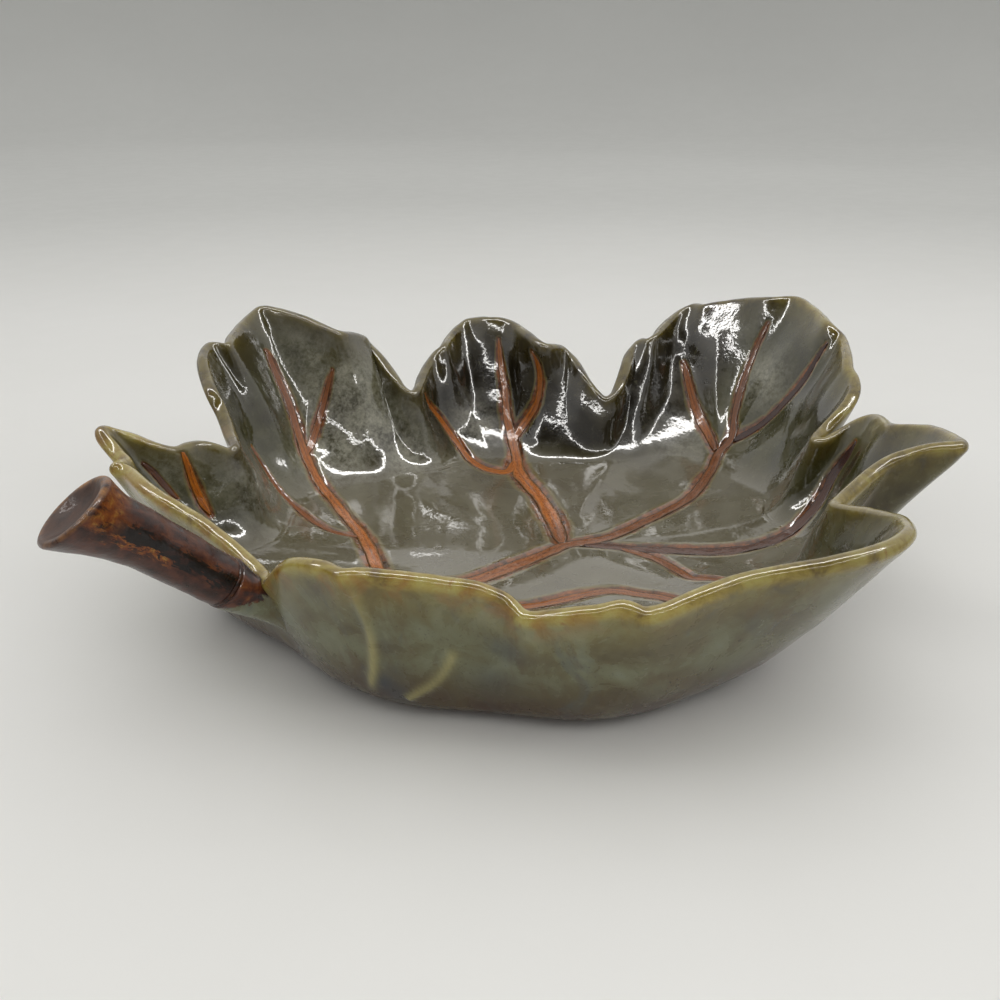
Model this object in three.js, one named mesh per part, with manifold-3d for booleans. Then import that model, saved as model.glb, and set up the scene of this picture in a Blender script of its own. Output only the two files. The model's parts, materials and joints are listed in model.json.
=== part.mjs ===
// Leaf dish of glazed ceramic: a seven-lobed leaf bowl with a stem, standing on a low ring.
// Units are millimetres. +Z is up, +X runs from the stem to the terminal lobe.
// The table under the dish is the plane z = 0.
import * as THREE from 'three';
import Module from 'manifold-3d';

const wasm = await Module();
wasm.setup();

// ---------------------------------------------------------------- driving sizes
const ORIGIN_X = -11.71;       // plan position of the middle of the box round the dish
const ORIGIN_Y = -0.53;
const FLOOR_MID_Z = 4.65;      // middle of the floor's thickness
const WALL_HALF = 2.2;         // half of the wall thickness at the rim
const FLOOR_HALF = 2.35;       // half of the floor thickness
const WALL_ROUNDING = 0.30;    // how softly the floor turns up into the wall
const RIM_EVENING = [0, 2, 5, 9, 15];   // the bends of the rim die out down the wall
const DISH = 6.0;              // the inside of the floor rises this much from its middle to its edge
const DISH_FLAT = 0.22;        // share of the floor that stays level
const MIN_WALL_RUN = 15.0;     // least level distance from the floor's edge to the rim
const DIRECTION_EVENING = 26;  // along the rim
const NOTCH_REACH = 2.0;       // floor radius regained for each degree away from a notch
const GAP = 0.3;               // clearance between neighbouring pieces

const VEIN_DEPTH = 1.05;       // depth of the slip fill in an incised vein
const VEIN_BELOW = 0.15;       // the fill stays this far under the glaze surface
const VEIN_STEP = 6.0;         // spacing of the cross-sections along a vein

const STEM_DIR = new THREE.Vector3(-0.757, 0, 0.654).normalize();
const STEM_JOINT = new THREE.Vector3(-118.0, 0, 32.6);   // centre of the joint face on the root boss
const BOSS_RADIUS = 7.1;
const BOSS_UNDERCUT = 0.22;
const SLIP_THICK = 0.9;
const SLIP_RADIUS = 7.35;
const STEM_SIDES = 28;
// distance along the stem from the joint, radius
const STEM_STATIONS = [
  [0, 6.9], [4, 6.95], [9, 6.9], [15, 7.1], [21, 7.35], [27, 7.7], [33, 8.2], [38, 8.9], [41, 9.7], [43.8, 10.6], [45.3, 11.1],
];
const STEM_CUT = new THREE.Vector3(-0.58, 0.22, 0.785).normalize();  // the end is cut a little askew
const STEM_DROOP = 1.5;   // the flared end sags below the line of the stem
const STEM_LIP = 1.3;
const STEM_HOLLOW = 2.4;

const FOOT_HEIGHT = 2.0;
const FOOT_OUTER = 0.965;      // share of the floor outline
const FOOT_INNER = 0.875;

// Rim crest, clockwise seen from above, from the stem root round the seven lobes.
const RIM = [
  [-109.9, -7.4, 33.7], [-108.4, -2.9, 33.1], [-108.7, 4.9, 35.6], [-110.2, 13.8, 39.1], [-112.1, 21.8, 42.2],
  [-114.2, 29.9, 44.5], [-116.4, 36.4, 46.5], [-117.9, 44.2, 48.7], [-118.0, 54.9, 50.4], [-120.0, 56.2, 50.8],
  [-116.2, 61.3, 50.1], [-114.4, 61.8, 49.9], [-114.4, 67.5, 51.2], [-115.0, 71.5, 53.5], [-115.5, 74.8, 55.3],
  [-114.9, 76.4, 56.1], [-112.2, 77.7, 55.9], [-108.7, 75.9, 54.6], [-104.5, 73.5, 52.7], [-101.1, 71.1, 50.5],
  [-97.6, 68.5, 48.8], [-94.6, 68.0, 47.9], [-91.0, 68.9, 47.9], [-87.0, 69.3, 47.8], [-83.5, 68.2, 47.0],
  [-80.0, 67.8, 45.3], [-77.4, 67.6, 43.8], [-75.8, 66.5, 44.0], [-70.4, 79.2, 46.9], [-67.8, 88.1, 51.3],
  [-68.1, 92.1, 55.7], [-65.3, 101.2, 59.6], [-62.1, 108.5, 62.6], [-57.8, 114.4, 64.3], [-54.0, 116.8, 65.1],
  [-51.6, 115.5, 65.3], [-50.9, 111.1, 65.6], [-46.4, 116.0, 66.5], [-39.2, 122.5, 68.0], [-33.9, 126.3, 69.5],
  [-29.9, 127.8, 70.9], [-25.8, 128.6, 72.1], [-23.8, 126.2, 72.6], [-20.0, 122.6, 71.8], [-15.6, 116.1, 70.0],
  [-11.5, 109.3, 67.4], [-8.2, 103.3, 64.9], [-0.9, 105.4, 62.7], [4.9, 107.2, 60.3], [9.3, 108.3, 57.4],
  [9.2, 102.0, 53.9], [9.3, 96.0, 49.9], [9.2, 89.9, 46.1], [10.6, 87.5, 43.2], [11.6, 85.1, 41.9],
  [14.8, 86.1, 42.7], [20.7, 91.0, 44.9], [28.0, 96.2, 47.8], [33.5, 98.0, 50.6], [35.6, 96.1, 53.0],
  [43.9, 101.6, 55.1], [50.8, 104.8, 57.2], [56.6, 105.2, 59.1], [59.0, 99.4, 60.5], [60.5, 94.9, 61.0],
  [63.7, 91.2, 60.8], [65.1, 85.1, 59.9], [63.1, 75.9, 58.5], [61.2, 68.2, 57.0], [61.8, 64.4, 55.6],
  [68.1, 64.6, 54.1], [72.9, 64.9, 52.1], [72.9, 58.7, 49.2], [71.2, 52.1, 45.5], [71.4, 47.9, 41.5],
  [73.0, 45.5, 38.1], [73.6, 42.3, 36.7], [76.4, 41.2, 38.0], [80.6, 41.6, 41.5], [87.9, 45.3, 45.9],
  [96.0, 50.6, 49.6], [100.6, 52.1, 51.9], [102.2, 50.5, 53.1], [101.7, 46.4, 54.3], [104.9, 45.6, 56.0],
  [112.3, 47.8, 58.2], [119.8, 49.5, 60.5], [126.0, 49.5, 62.5], [130.3, 46.9, 63.9], [129.3, 40.4, 65.1],
  [131.1, 36.4, 66.3], [132.7, 30.6, 67.7], [134.7, 22.5, 69.5], [135.0, 13.3, 71.2], [139.3, 4.7, 72.3],
  [138.8, 0.7, 72.2], [136.4, -5.1, 71.1], [131.7, -13.2, 69.6], [126.0, -21.0, 67.9], [125.8, -23.9, 66.2],
  [126.2, -26.4, 64.3], [120.0, -32.2, 62.3], [112.1, -38.3, 60.4], [108.5, -41.2, 58.7], [105.9, -45.0, 57.0],
  [102.4, -48.2, 55.1], [97.5, -50.3, 52.9], [93.5, -50.8, 50.6], [89.2, -50.7, 48.3], [85.9, -50.0, 46.0],
  [82.7, -49.3, 43.7], [75.7, -51.0, 42.1], [77.5, -53.2, 42.3], [81.9, -54.7, 44.1], [85.6, -56.6, 46.5],
  [87.2, -59.9, 48.7], [87.8, -64.2, 50.2], [84.9, -69.1, 51.3], [78.9, -74.6, 52.1], [75.3, -79.1, 53.3],
  [74.7, -85.3, 54.9], [72.5, -92.9, 56.5], [67.5, -100.9, 57.5], [63.5, -106.0, 58.1], [60.2, -109.2, 58.4],
  [57.1, -109.6, 58.6], [55.8, -106.3, 58.4], [53.0, -101.9, 57.4], [49.9, -97.7, 55.5], [46.9, -94.3, 53.2],
  [41.0, -93.1, 50.9], [34.1, -93.0, 48.9], [28.4, -93.2, 47.4], [23.4, -93.6, 46.4], [19.6, -94.5, 46.2],
  [18.2, -97.8, 46.9], [16.1, -103.2, 48.5], [13.4, -110.1, 50.3], [10.1, -116.6, 52.0], [7.2, -121.0, 53.3],
  [3.3, -124.8, 54.2], [-0.8, -127.8, 54.6], [-5.6, -129.5, 54.7], [-10.6, -129.8, 54.4], [-15.5, -128.8, 54.0],
  [-20.1, -127.2, 53.5], [-25.0, -125.0, 53.0], [-29.4, -122.6, 52.5], [-33.3, -119.9, 52.0], [-36.8, -117.4, 51.5],
  [-41.1, -115.0, 51.0], [-45.2, -112.4, 50.4], [-49.4, -110.1, 49.6], [-54.0, -108.6, 48.8], [-58.2, -107.1, 47.9],
  [-61.9, -105.9, 46.9], [-65.2, -104.4, 45.9], [-67.3, -102.4, 45.2], [-68.0, -100.9, 44.8], [-68.2, -99.6, 45.0],
  [-68.6, -97.6, 45.3], [-69.8, -95.5, 45.5], [-71.6, -94.2, 45.1], [-73.4, -92.2, 44.2], [-75.9, -88.2, 43.1],
  [-78.3, -84.3, 41.9], [-79.9, -81.0, 41.0], [-81.1, -78.8, 40.3], [-83.0, -76.8, 40.2], [-82.8, -74.8, 41.0],
  [-82.8, -72.0, 42.3], [-84.3, -70.2, 43.7], [-86.4, -67.3, 44.9], [-88.9, -64.8, 45.9], [-92.5, -61.8, 46.7],
  [-95.7, -58.3, 47.3], [-99.0, -54.9, 47.7], [-100.5, -53.0, 47.8], [-104.5, -46.6, 47.6], [-106.4, -43.1, 47.3],
  [-108.9, -41.4, 47.0], [-109.6, -39.4, 47.0], [-109.7, -35.4, 47.3], [-111.0, -31.7, 47.2], [-111.9, -27.8, 46.5],
  [-112.6, -23.4, 45.0], [-112.2, -18.3, 42.1], [-110.7, -12.1, 37.6],
];

// Level run of the wall for each millimetre of rise, by direction in degrees.
const WALL_RUN = [
  [-180, 0.50], [-168, 0.38], [-152, 0.30], [-136, 0.34], [-115, 0.62], [-95, 0.90], [-78, 0.65],
  [-62, 0.75], [-45, 0.60], [-30, 0.50], [0, 0.80], [28, 0.42], [42, 0.50], [61, 0.70],
  [84, 0.42], [100, 0.75], [135, 0.45], [148, 0.55], [165, 0.50], [180, 0.50],
];

// Incised veins: points on the inside of the bowl and the width there.
const VEINS = {
  vein_midrib: [
    [-96.5, 0.4, 14.2, 1.6], [-93.0, 0.5, 13.0, 2.6], [-82.0, 1.8, 11.3, 3.4], [-70.0, 3.2, 9.8, 4.4],
    [-58.0, 4.4, 8.6, 5.2], [-49.6, 4.6, 8.0, 5.8], [-41.9, 1.8, 7.5, 6.0], [-34.3, -1.3, 7.2, 6.2],
    [-22.0, -1.7, 7.0, 6.2], [-8.4, -1.4, 7.0, 6.0], [3.5, -1.1, 7.0, 5.8], [7.8, -0.5, 7.0, 5.6],
    [17.0, -4.2, 7.0, 5.4], [25.1, -6.0, 7.1, 5.2], [40.5, -6.0, 7.7, 5.0], [53.7, -6.1, 8.7, 4.8],
    [68.5, -5.3, 10.4, 4.6], [77.0, -3.0, 11.5, 4.4], [91.8, 3.2, 14.2, 4.2], [98.4, 6.3, 17.9, 4.2],
    [102.8, 4.3, 22.3, 4.0], [108.0, 7.8, 27.7, 3.4], [112.7, 10.0, 34.4, 3.2], [117.5, 11.0, 42.5, 2.9],
    [122.6, 10.9, 51.7, 2.4], [129.2, 9.2, 62.8, 1.3],
  ],
  vein_c_trunk: [
    [9.4, 1.6, 7.0, 6.0], [19.3, 14.9, 7.2, 6.4], [29.0, 31.5, 8.6, 6.2], [33.7, 43.3, 10.0, 6.0],
    [37.3, 52.6, 11.4, 5.8], [44.2, 61.7, 14.4, 4.6], [47.3, 68.0, 19.6, 4.0], [49.8, 74.2, 26.6, 3.6],
    [52.9, 78.8, 35.8, 3.0], [55.4, 83.9, 44.6, 2.4], [58.5, 87.9, 54.0, 1.4],
  ],
  vein_b_trunk: [
    [-62.0, 6.5, 8.9, 4.4], [-56.5, 14.5, 8.4, 5.0], [-52.7, 20.9, 8.1, 5.4], [-50.2, 25.9, 8.1, 5.4],
    [-44.5, 37.3, 9.0, 5.2], [-39.8, 48.8, 9.5, 5.0], [-36.2, 61.8, 10.5, 4.6], [-31.7, 79.1, 13.1, 4.4],
    [-30.7, 88.9, 19.0, 4.2], [-29.9, 94.1, 24.5, 4.2], [-29.1, 99.8, 31.8, 3.6], [-28.4, 106.4, 41.7, 3.2],
    [-28.8, 111.5, 49.5, 2.8], [-29.4, 115.9, 56.3, 2.2], [-30.0, 117.5, 58.8, 1.4],
  ],
  vein_e: [
    [13.5, -5.0, 7.0, 4.4], [17.0, -8.9, 7.0, 4.6], [26.3, -23.4, 7.5, 5.2], [30.9, -30.2, 8.0, 5.6],
    [37.6, -41.1, 9.2, 6.0], [43.0, -46.9, 10.2, 5.8], [50.8, -51.5, 11.5, 5.4], [58.8, -53.1, 12.9, 5.0],
    [65.0, -54.4, 15.9, 4.4], [69.2, -55.7, 20.6, 3.8], [72.7, -56.7, 26.0, 3.2], [75.9, -57.4, 31.8, 2.8],
    [78.8, -59.8, 37.7, 2.2], [81.1, -61.5, 42.4, 1.3],
  ],
  vein_f_trunk: [
    [-60.0, -1.5, 8.9, 4.0], [-52.0, -14.0, 8.1, 4.4], [-42.0, -22.0, 7.7, 4.8], [-30.2, -27.7, 7.4, 5.0],
    [-21.7, -30.3, 7.3, 5.2], [-13.1, -32.5, 7.3, 5.0], [-5.9, -36.6, 7.4, 4.8], [-3.5, -42.7, 7.8, 4.4],
    [-0.5, -52.0, 8.6, 4.2], [-1.5, -66.0, 10.4, 3.8], [-3.0, -82.0, 12.7, 3.4], [-5.0, -95.0, 17.4, 2.8],
    [-6.5, -107.0, 29.3, 2.2], [-7.8, -115.0, 38.4, 1.3],
  ],
  vein_f_short: [
    [20.5, -14.7, 7.1, 3.4], [21.4, -22.8, 7.3, 3.8], [21.8, -29.4, 7.5, 4.0], [19.5, -37.6, 8.1, 4.0],
    [16.8, -44.7, 8.9, 3.8], [15.0, -49.8, 9.5, 3.4], [18.0, -56.0, 10.7, 3.0], [16.5, -66.0, 12.0, 2.2],
    [15.0, -74.0, 13.4, 1.3],
  ],
  vein_d_right: [
    [102.9, 3.4, 22.5, 3.4], [105.4, -1.4, 26.3, 3.4], [107.9, -6.9, 31.5, 3.2], [110.8, -11.8, 38.7, 3.2],
    [114.0, -16.7, 47.2, 3.0], [116.5, -19.1, 53.0, 2.4], [119.3, -21.4, 58.6, 1.8], [121.1, -22.8, 61.9, 1.2],
  ],
  vein_d_left: [
    [99.0, 8.3, 18.1, 3.0], [103.9, 16.4, 22.1, 3.4], [106.5, 22.1, 25.5, 3.8], [109.2, 28.3, 31.5, 3.4],
    [111.9, 33.6, 38.6, 2.8], [114.5, 38.3, 44.6, 1.6],
  ],
  vein_c_right: [
    [46.3, 66.3, 17.7, 3.0], [49.6, 67.0, 22.2, 3.6], [52.6, 65.1, 27.7, 4.0], [55.0, 62.6, 33.5, 3.8],
    [57.2, 62.8, 41.9, 3.4], [57.9, 64.7, 47.9, 2.6], [58.3, 68.5, 52.2, 1.5],
  ],
  vein_c_left: [
    [41.5, 60.5, 13.1, 4.4], [34.9, 56.3, 11.4, 4.4], [32.1, 60.0, 11.5, 4.2], [29.9, 65.6, 12.2, 4.0],
    [29.8, 72.5, 13.7, 3.6], [29.5, 79.3, 19.1, 3.2], [27.8, 82.5, 24.4, 2.8], [25.2, 84.8, 30.1, 2.4],
    [21.1, 85.1, 35.3, 2.0], [18.7, 85.0, 39.4, 1.3],
  ],
  vein_b_right: [
    [-29.5, 94.1, 24.4, 2.6], [-26.3, 96.0, 26.6, 2.8], [-22.6, 98.5, 30.7, 2.8], [-17.1, 101.0, 40.6, 2.4],
    [-14.2, 101.4, 47.7, 1.9], [-12.7, 101.2, 51.3, 1.3],
  ],
  vein_b_lower: [
    [-42.2, 47.2, 9.6, 3.2], [-46.8, 52.2, 10.4, 3.2], [-48.7, 62.9, 11.8, 3.0], [-47.9, 75.8, 13.7, 2.8],
    [-49.4, 83.0, 18.8, 2.4], [-50.1, 89.5, 25.8, 1.9], [-52.3, 92.9, 32.5, 1.2],
  ],
  vein_a: [
    [-93.7, 65.9, 47.6, 1.6], [-92.2, 64.3, 40.7, 2.8], [-91.0, 63.2, 34.8, 3.4], [-89.3, 61.7, 28.7, 3.2],
    [-87.8, 60.6, 25.2, 1.8],
  ],
  vein_a_outer: [
    [-104.7, 69.7, 44.5, 1.0], [-102.2, 68.2, 41.5, 1.4], [-99.1, 65.7, 35.8, 1.4], [-96.7, 64.0, 32.0, 1.0],
  ],
  vein_g: [
    [-86.0, -28.0, 12.0, 2.2], [-92.4, -32.1, 13.0, 2.8], [-96.2, -37.5, 19.8, 2.8], [-99.3, -40.5, 30.5, 2.6],
    [-101.4, -41.3, 37.2, 2.2], [-103.5, -41.3, 42.5, 1.3],
  ],
  vein_g_outer: [
    [-86.0, -42.0, 12.7, 1.6], [-87.0, -43.9, 13.2, 2.2], [-85.7, -49.8, 16.0, 2.2], [-85.7, -54.2, 21.5, 1.8],
    [-85.7, -56.5, 26.1, 1.2],
  ],
};
// The order of filling: a branch stops at the edge of the stroke it leaves.
const VEIN_ORDER = Object.keys(VEINS);

// ---------------------------------------------------------------- rim and floor outline
const DENSE = 1440;
const rimCurve = new THREE.CatmullRomCurve3(RIM.map((p) => new THREE.Vector3(p[0], p[1], p[2])), true, 'centripetal');
const FINE = 6000;
const fine = [];
for (let i = 0; i <= FINE; i++) fine.push(rimCurve.getPoint((i % FINE) / FINE));
const arc = [0];
for (let i = 1; i <= FINE; i++) arc.push(arc[i - 1] + fine[i].distanceTo(fine[i - 1]));
const RIM_LENGTH = arc[FINE];

const R = [];
{
  let k = 0;
  for (let i = 0; i < DENSE; i++) {
    const s = (i / DENSE) * RIM_LENGTH;
    while (arc[k + 1] < s) k++;
    R.push(fine[k].clone().lerp(fine[k + 1], (s - arc[k]) / (arc[k + 1] - arc[k])));
  }
}

const wrap = (i) => ((i % DENSE) + DENSE) % DENSE;

function smooth(values, sigma) {       // closed run of number arrays, sigma in mm along the rim
  const sg = (sigma / RIM_LENGTH) * DENSE;
  const n = Math.floor(4 * sg) + 1;
  const w = [];
  let sum = 0;
  for (let j = -n; j <= n; j++) { w.push(Math.exp(-0.5 * (j / sg) ** 2)); sum += w[w.length - 1]; }
  return values.map((v, i) => v.map((_, c) => {
    let a = 0;
    for (let j = -n; j <= n; j++) a += w[j + n] * values[wrap(i + j)][c];
    return a / sum;
  }));
}

function byDirection(deg) {
  for (let i = 1; i < WALL_RUN.length; i++) {
    if (deg <= WALL_RUN[i][0]) {
      const [a, va] = WALL_RUN[i - 1];
      const [b, vb] = WALL_RUN[i];
      return va + ((vb - va) * (deg - a)) / (b - a);
    }
  }
  return WALL_RUN[WALL_RUN.length - 1][1];
}

const outward = smooth(R.map((p) => [p.x, p.y]), 25).map(([x, y]) => { const l = Math.hypot(x, y); return [x / l, y / l]; });
const footRaw = R.map((p, i) => {
  const run = byDirection((Math.atan2(p.y, p.x) * 180) / Math.PI) * (p.z - FLOOR_MID_Z);
  return [p.x - outward[i][0] * run, p.y - outward[i][1] * run];
});
const footSoft = smooth(footRaw, 20);
// Direction of each foot point: the rim's own direction, evened out along the rim so that it never turns back.
const turn = (i) => (2 * Math.PI * i) / DENSE;
const heading = [];
for (let i = 0, last = Math.atan2(R[0].y, R[0].x); i < DENSE; i++) {
  let a = Math.atan2(R[i].y, R[i].x);
  while (a - last > Math.PI) a -= 2 * Math.PI;
  while (a - last < -Math.PI) a += 2 * Math.PI;
  last = a;
  heading.push(a);
}
const evened = smooth(heading.map((a, i) => [a + turn(i)]), DIRECTION_EVENING).map(([a], i) => a - turn(i));
// The floor keeps clear of every notch near its own direction.
const footLimit = evened.map((a) => {
  let least = Infinity;
  for (let j = 0; j < DENSE; j++) {
    let d = Math.abs(a - heading[j]) % (2 * Math.PI);
    if (d > Math.PI) d = 2 * Math.PI - d;
    least = Math.min(least, Math.hypot(R[j].x, R[j].y) + NOTCH_REACH * Math.max(0, (d * 180) / Math.PI - 4));
  }
  return least - MIN_WALL_RUN;
});
const footRadius = smooth(footSoft.map(([x, y], i) => [Math.min(Math.hypot(x, y), footLimit[i])]), 10);
const Q = footRadius.map(([r], i) => [r * Math.cos(evened[i]), r * Math.sin(evened[i])]);

// ---------------------------------------------------------------- middle surface of the wall
const bend = (t) => (Math.sqrt(t * t + WALL_ROUNDING ** 2) - WALL_ROUNDING) / (Math.sqrt(1 + WALL_ROUNDING ** 2) - WALL_ROUNDING);
const rimEven = RIM_EVENING.map((sigma) => (sigma ? smooth(R.map((p) => [p.x, p.y, p.z]), sigma).map((v) => new THREE.Vector3(...v)) : R));
function rimFelt(k, t) {                        // the rim's shape as it is felt at height t of the wall
  const sigma = RIM_EVENING[4] * (1 - t) ** 0.75;
  let j = 0;
  while (j < 3 && RIM_EVENING[j + 1] <= sigma) j++;
  return rimEven[j][k].clone().lerp(rimEven[j + 1][k], (sigma - RIM_EVENING[j]) / (RIM_EVENING[j + 1] - RIM_EVENING[j]));
}
const dishFloor = (share) => DISH * Math.max(0, (share - DISH_FLAT) / (1 - DISH_FLAT)) ** 2;
const dishWall = (t) => {                       // the dished floor runs out smoothly up the wall
  const f = Math.min(1, t / 0.55);
  const slope = (2 * DISH / (1 - DISH_FLAT)) * 0.36 * 0.55;
  return DISH * (2 * f ** 3 - 3 * f ** 2 + 1) + slope * (f ** 3 - 2 * f ** 2 + f);
};

function middle(i, t) {
  const k = wrap(i);
  const r = rimFelt(k, t);
  return new THREE.Vector3(
    Q[k][0] + (r.x - Q[k][0]) * t,
    Q[k][1] + (r.y - Q[k][1]) * t,
    FLOOR_MID_Z + (r.z - FLOOR_MID_Z) * bend(t),
  );
}
function rise(i, t) {
  const a = Math.max(0, t - 0.01);
  const b = Math.min(1, t + 0.01);
  return middle(i, b).sub(middle(i, a)).divideScalar(b - a);
}
function normalRaw(i, t) {
  const along = middle(i + 2, t).sub(middle(i - 2, t));
  return along.cross(rise(i, t)).normalize();
}
function normalAt(i, t) {
  const n = new THREE.Vector3();
  for (let j = -14; j <= 14; j++) n.addScaledVector(normalRaw(i + j, t), Math.exp(-0.5 * (j / 6.8) ** 2));
  return n.normalize();
}
const half = (t) => WALL_HALF + (FLOOR_HALF - WALL_HALF) * (1 - t);

// ---------------------------------------------------------------- mesh helpers
class Body {
  constructor() { this.v = []; this.t = []; }
  add(p) { this.v.push(p.x, p.y, p.z); return this.v.length / 3 - 1; }
  ring(points) { return points.map((p) => this.add(p)); }
  join(a, b) {                                   // two rings of equal count
    const n = a.length;
    for (let i = 0; i < n; i++) {
      const j = (i + 1) % n;
      this.t.push(a[i], a[j], b[j], a[i], b[j], b[i]);
    }
  }
  fan(ring, apex, flip) {
    const n = ring.length;
    for (let i = 0; i < n; i++) {
      const j = (i + 1) % n;
      if (flip) this.t.push(apex, ring[j], ring[i]); else this.t.push(apex, ring[i], ring[j]);
    }
  }
  volume() {
    const { v, t } = this;
    let s = 0;
    for (let i = 0; i < t.length; i += 3) {
      const [a, b, c] = [t[i] * 3, t[i + 1] * 3, t[i + 2] * 3];
      s += v[a] * (v[b + 1] * v[c + 2] - v[b + 2] * v[c + 1])
        - v[a + 1] * (v[b] * v[c + 2] - v[b + 2] * v[c])
        + v[a + 2] * (v[b] * v[c + 1] - v[b + 1] * v[c]);
    }
    return s / 6;
  }
  solid() {
    if (this.volume() < 0) for (let i = 0; i < this.t.length; i += 3) [this.t[i + 1], this.t[i + 2]] = [this.t[i + 2], this.t[i + 1]];
    return new wasm.Manifold(new wasm.Mesh({
      numProp: 3,
      vertProperties: Float32Array.from(this.v),
      triVerts: Uint32Array.from(this.t),
    }));
  }
}

// ---------------------------------------------------------------- leaf bowl
const columns = [];
for (let i = 0; i < RIM.length; i++) {
  const s = arc[Math.round((i / RIM.length) * FINE)];
  const k = wrap(Math.round((s / RIM_LENGTH) * DENSE));
  if (!columns.length || k > columns[columns.length - 1] + 3) columns.push(k);
}
const FLOOR_SHARES = [DISH_FLAT, 0.48, 0.74];
const INNER_ROWS = [0, 0.12, 0.26, 0.42, 0.6, 0.8, 1];
const OUTER_ROWS = [1, 0.66, 0.36, 0.14, 0];

const bowl = new Body();
const surfaceTriangles = [];           // inside of the bowl, for laying the veins
const middleTriangles = [];            // middle of the wall, for rooting the boss
{
  const end = columns.map((i) => 1 - WALL_HALF / rise(i, 1).length());
  const inner = INNER_ROWS.map((t) => columns.map((i, c) => {
    const u = t * end[c];
    const p = middle(i, u).addScaledVector(normalAt(i, u), half(u));
    p.z += dishWall(u);
    return p;
  }));
  const outer = OUTER_ROWS.map((t) => columns.map((i, c) => {
    const u = t * end[c];
    return middle(i, u).addScaledVector(normalAt(i, u), -half(u));
  }));
  const cap = [0.75, 0.5, 0.25].map((f) => columns.map((i, c) => {
    const n = normalAt(i, end[c]);
    const up = rise(i, end[c]).normalize();
    const a = (0.5 - f) * Math.PI;
    return middle(i, end[c]).addScaledVector(n, -Math.sin(a) * WALL_HALF).addScaledVector(up, Math.cos(a) * WALL_HALF);
  }));
  const floorTop = FLOOR_MID_Z + FLOOR_HALF;
  const floorBottom = FLOOR_MID_Z - FLOOR_HALF;
  const floors = FLOOR_SHARES.map((k) => columns.map((i) => new THREE.Vector3(Q[i][0] * k, Q[i][1] * k, floorTop + dishFloor(k))));
  inner[0].forEach((p) => { p.z = floorTop + DISH; });
  const lining = [...floors, ...inner];
  outer[OUTER_ROWS.length - 1].forEach((p) => { p.z = floorBottom; });

  const rows = [...lining, ...cap, ...outer];
  const rings = rows.map((r) => bowl.ring(r));
  for (let r = 0; r + 1 < rings.length; r++) bowl.join(rings[r], rings[r + 1]);
  bowl.fan(rings[0], bowl.add(new THREE.Vector3(0, 0, floorTop)), true);
  bowl.fan(rings[rings.length - 1], bowl.add(new THREE.Vector3(0, 0, floorBottom)), false);

  const collect = (list, a, b) => {
    for (let i = 0; i < a.length; i++) {
      const j = (i + 1) % a.length;
      list.push([a[i], a[j], b[j]], [a[i], b[j], b[i]]);
    }
  };
  const center = columns.map(() => new THREE.Vector3(0, 0, floorTop));
  collect(surfaceTriangles, center, lining[0]);
  for (let r = 0; r + 1 < lining.length; r++) collect(surfaceTriangles, lining[r], lining[r + 1]);
  const mids = [0, 0.15, 0.3, 0.5, 0.7, 0.9, 1].map((t) => columns.map((i) => middle(i, t)));
  for (let r = 0; r + 1 < mids.length; r++) collect(middleTriangles, mids[r], mids[r + 1]);
}

function hits(triangles, origin, dir) {
  const out = [];
  const e1 = new THREE.Vector3();
  const e2 = new THREE.Vector3();
  const h = new THREE.Vector3();
  const s = new THREE.Vector3();
  const q = new THREE.Vector3();
  for (const [a, b, c] of triangles) {
    e1.subVectors(b, a); e2.subVectors(c, a);
    h.crossVectors(dir, e2);
    const det = e1.dot(h);
    if (Math.abs(det) < 1e-9) continue;
    s.subVectors(origin, a);
    const u = s.dot(h) / det;
    if (u < -1e-7 || u > 1 + 1e-7) continue;
    q.crossVectors(s, e1);
    const v = dir.dot(q) / det;
    if (v < -1e-7 || u + v > 1 + 1e-7) continue;
    const t = e2.dot(q) / det;
    if (t > 0) out.push(t);
  }
  return out.sort((x, y) => x - y);
}
// Nearest point on the inside of the bowl, with the facing averaged over its surroundings.
const facets = surfaceTriangles.map(([a, b, c]) => new THREE.Triangle(a, b, c));
function onInside(p) {
  const q = new THREE.Vector3();
  const n = new THREE.Vector3();
  const best = new THREE.Vector3();
  const facing = new THREE.Vector3();
  let least = Infinity;
  for (const f of facets) {
    if (f.getArea() < 1e-6) continue;
    f.closestPointToPoint(p, q);
    const d = q.distanceTo(p);
    if (d < least) { least = d; best.copy(q); }
    if (d < 6) {
      f.getNormal(n);
      if (n.z < 0) n.negate();
      facing.addScaledVector(n, Math.exp(-((d / 2.5) ** 2)));
    }
  }
  return { p: best, up: facing.normalize() };
}

// ---------------------------------------------------------------- root boss under the stem
const SIDE = new THREE.Vector3(0, 1, 0);
const OVER = new THREE.Vector3().crossVectors(SIDE, STEM_DIR).normalize();
const around = (c, radius, n) => Array.from({ length: n }, (_, i) => {
  const a = (2 * Math.PI * i) / n;
  return c.clone().addScaledVector(SIDE, radius * Math.cos(a)).addScaledVector(OVER, radius * Math.sin(a));
});
const boss = new Body();
{
  const back = STEM_DIR.clone().negate();
  const near = around(STEM_JOINT, BOSS_RADIUS, STEM_SIDES);
  const rooted = near.map((p) => {               // drawn in a little on the underside, where it meets the base
    const off = p.clone().sub(STEM_JOINT);
    const low = Math.max(0, -off.dot(OVER) / BOSS_RADIUS);
    const q = STEM_JOINT.clone().addScaledVector(off, 0.98 - BOSS_UNDERCUT * low);
    return q.addScaledVector(back, hits(middleTriangles, q, back)[0]);
  });
  const a = boss.ring(near);
  const b = boss.ring(rooted);
  boss.join(a, b);
  boss.fan(a, boss.add(STEM_JOINT), true);
  boss.fan(b, boss.add(STEM_JOINT.clone().addScaledVector(back, hits(middleTriangles, STEM_JOINT, back)[0])), false);
}

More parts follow.
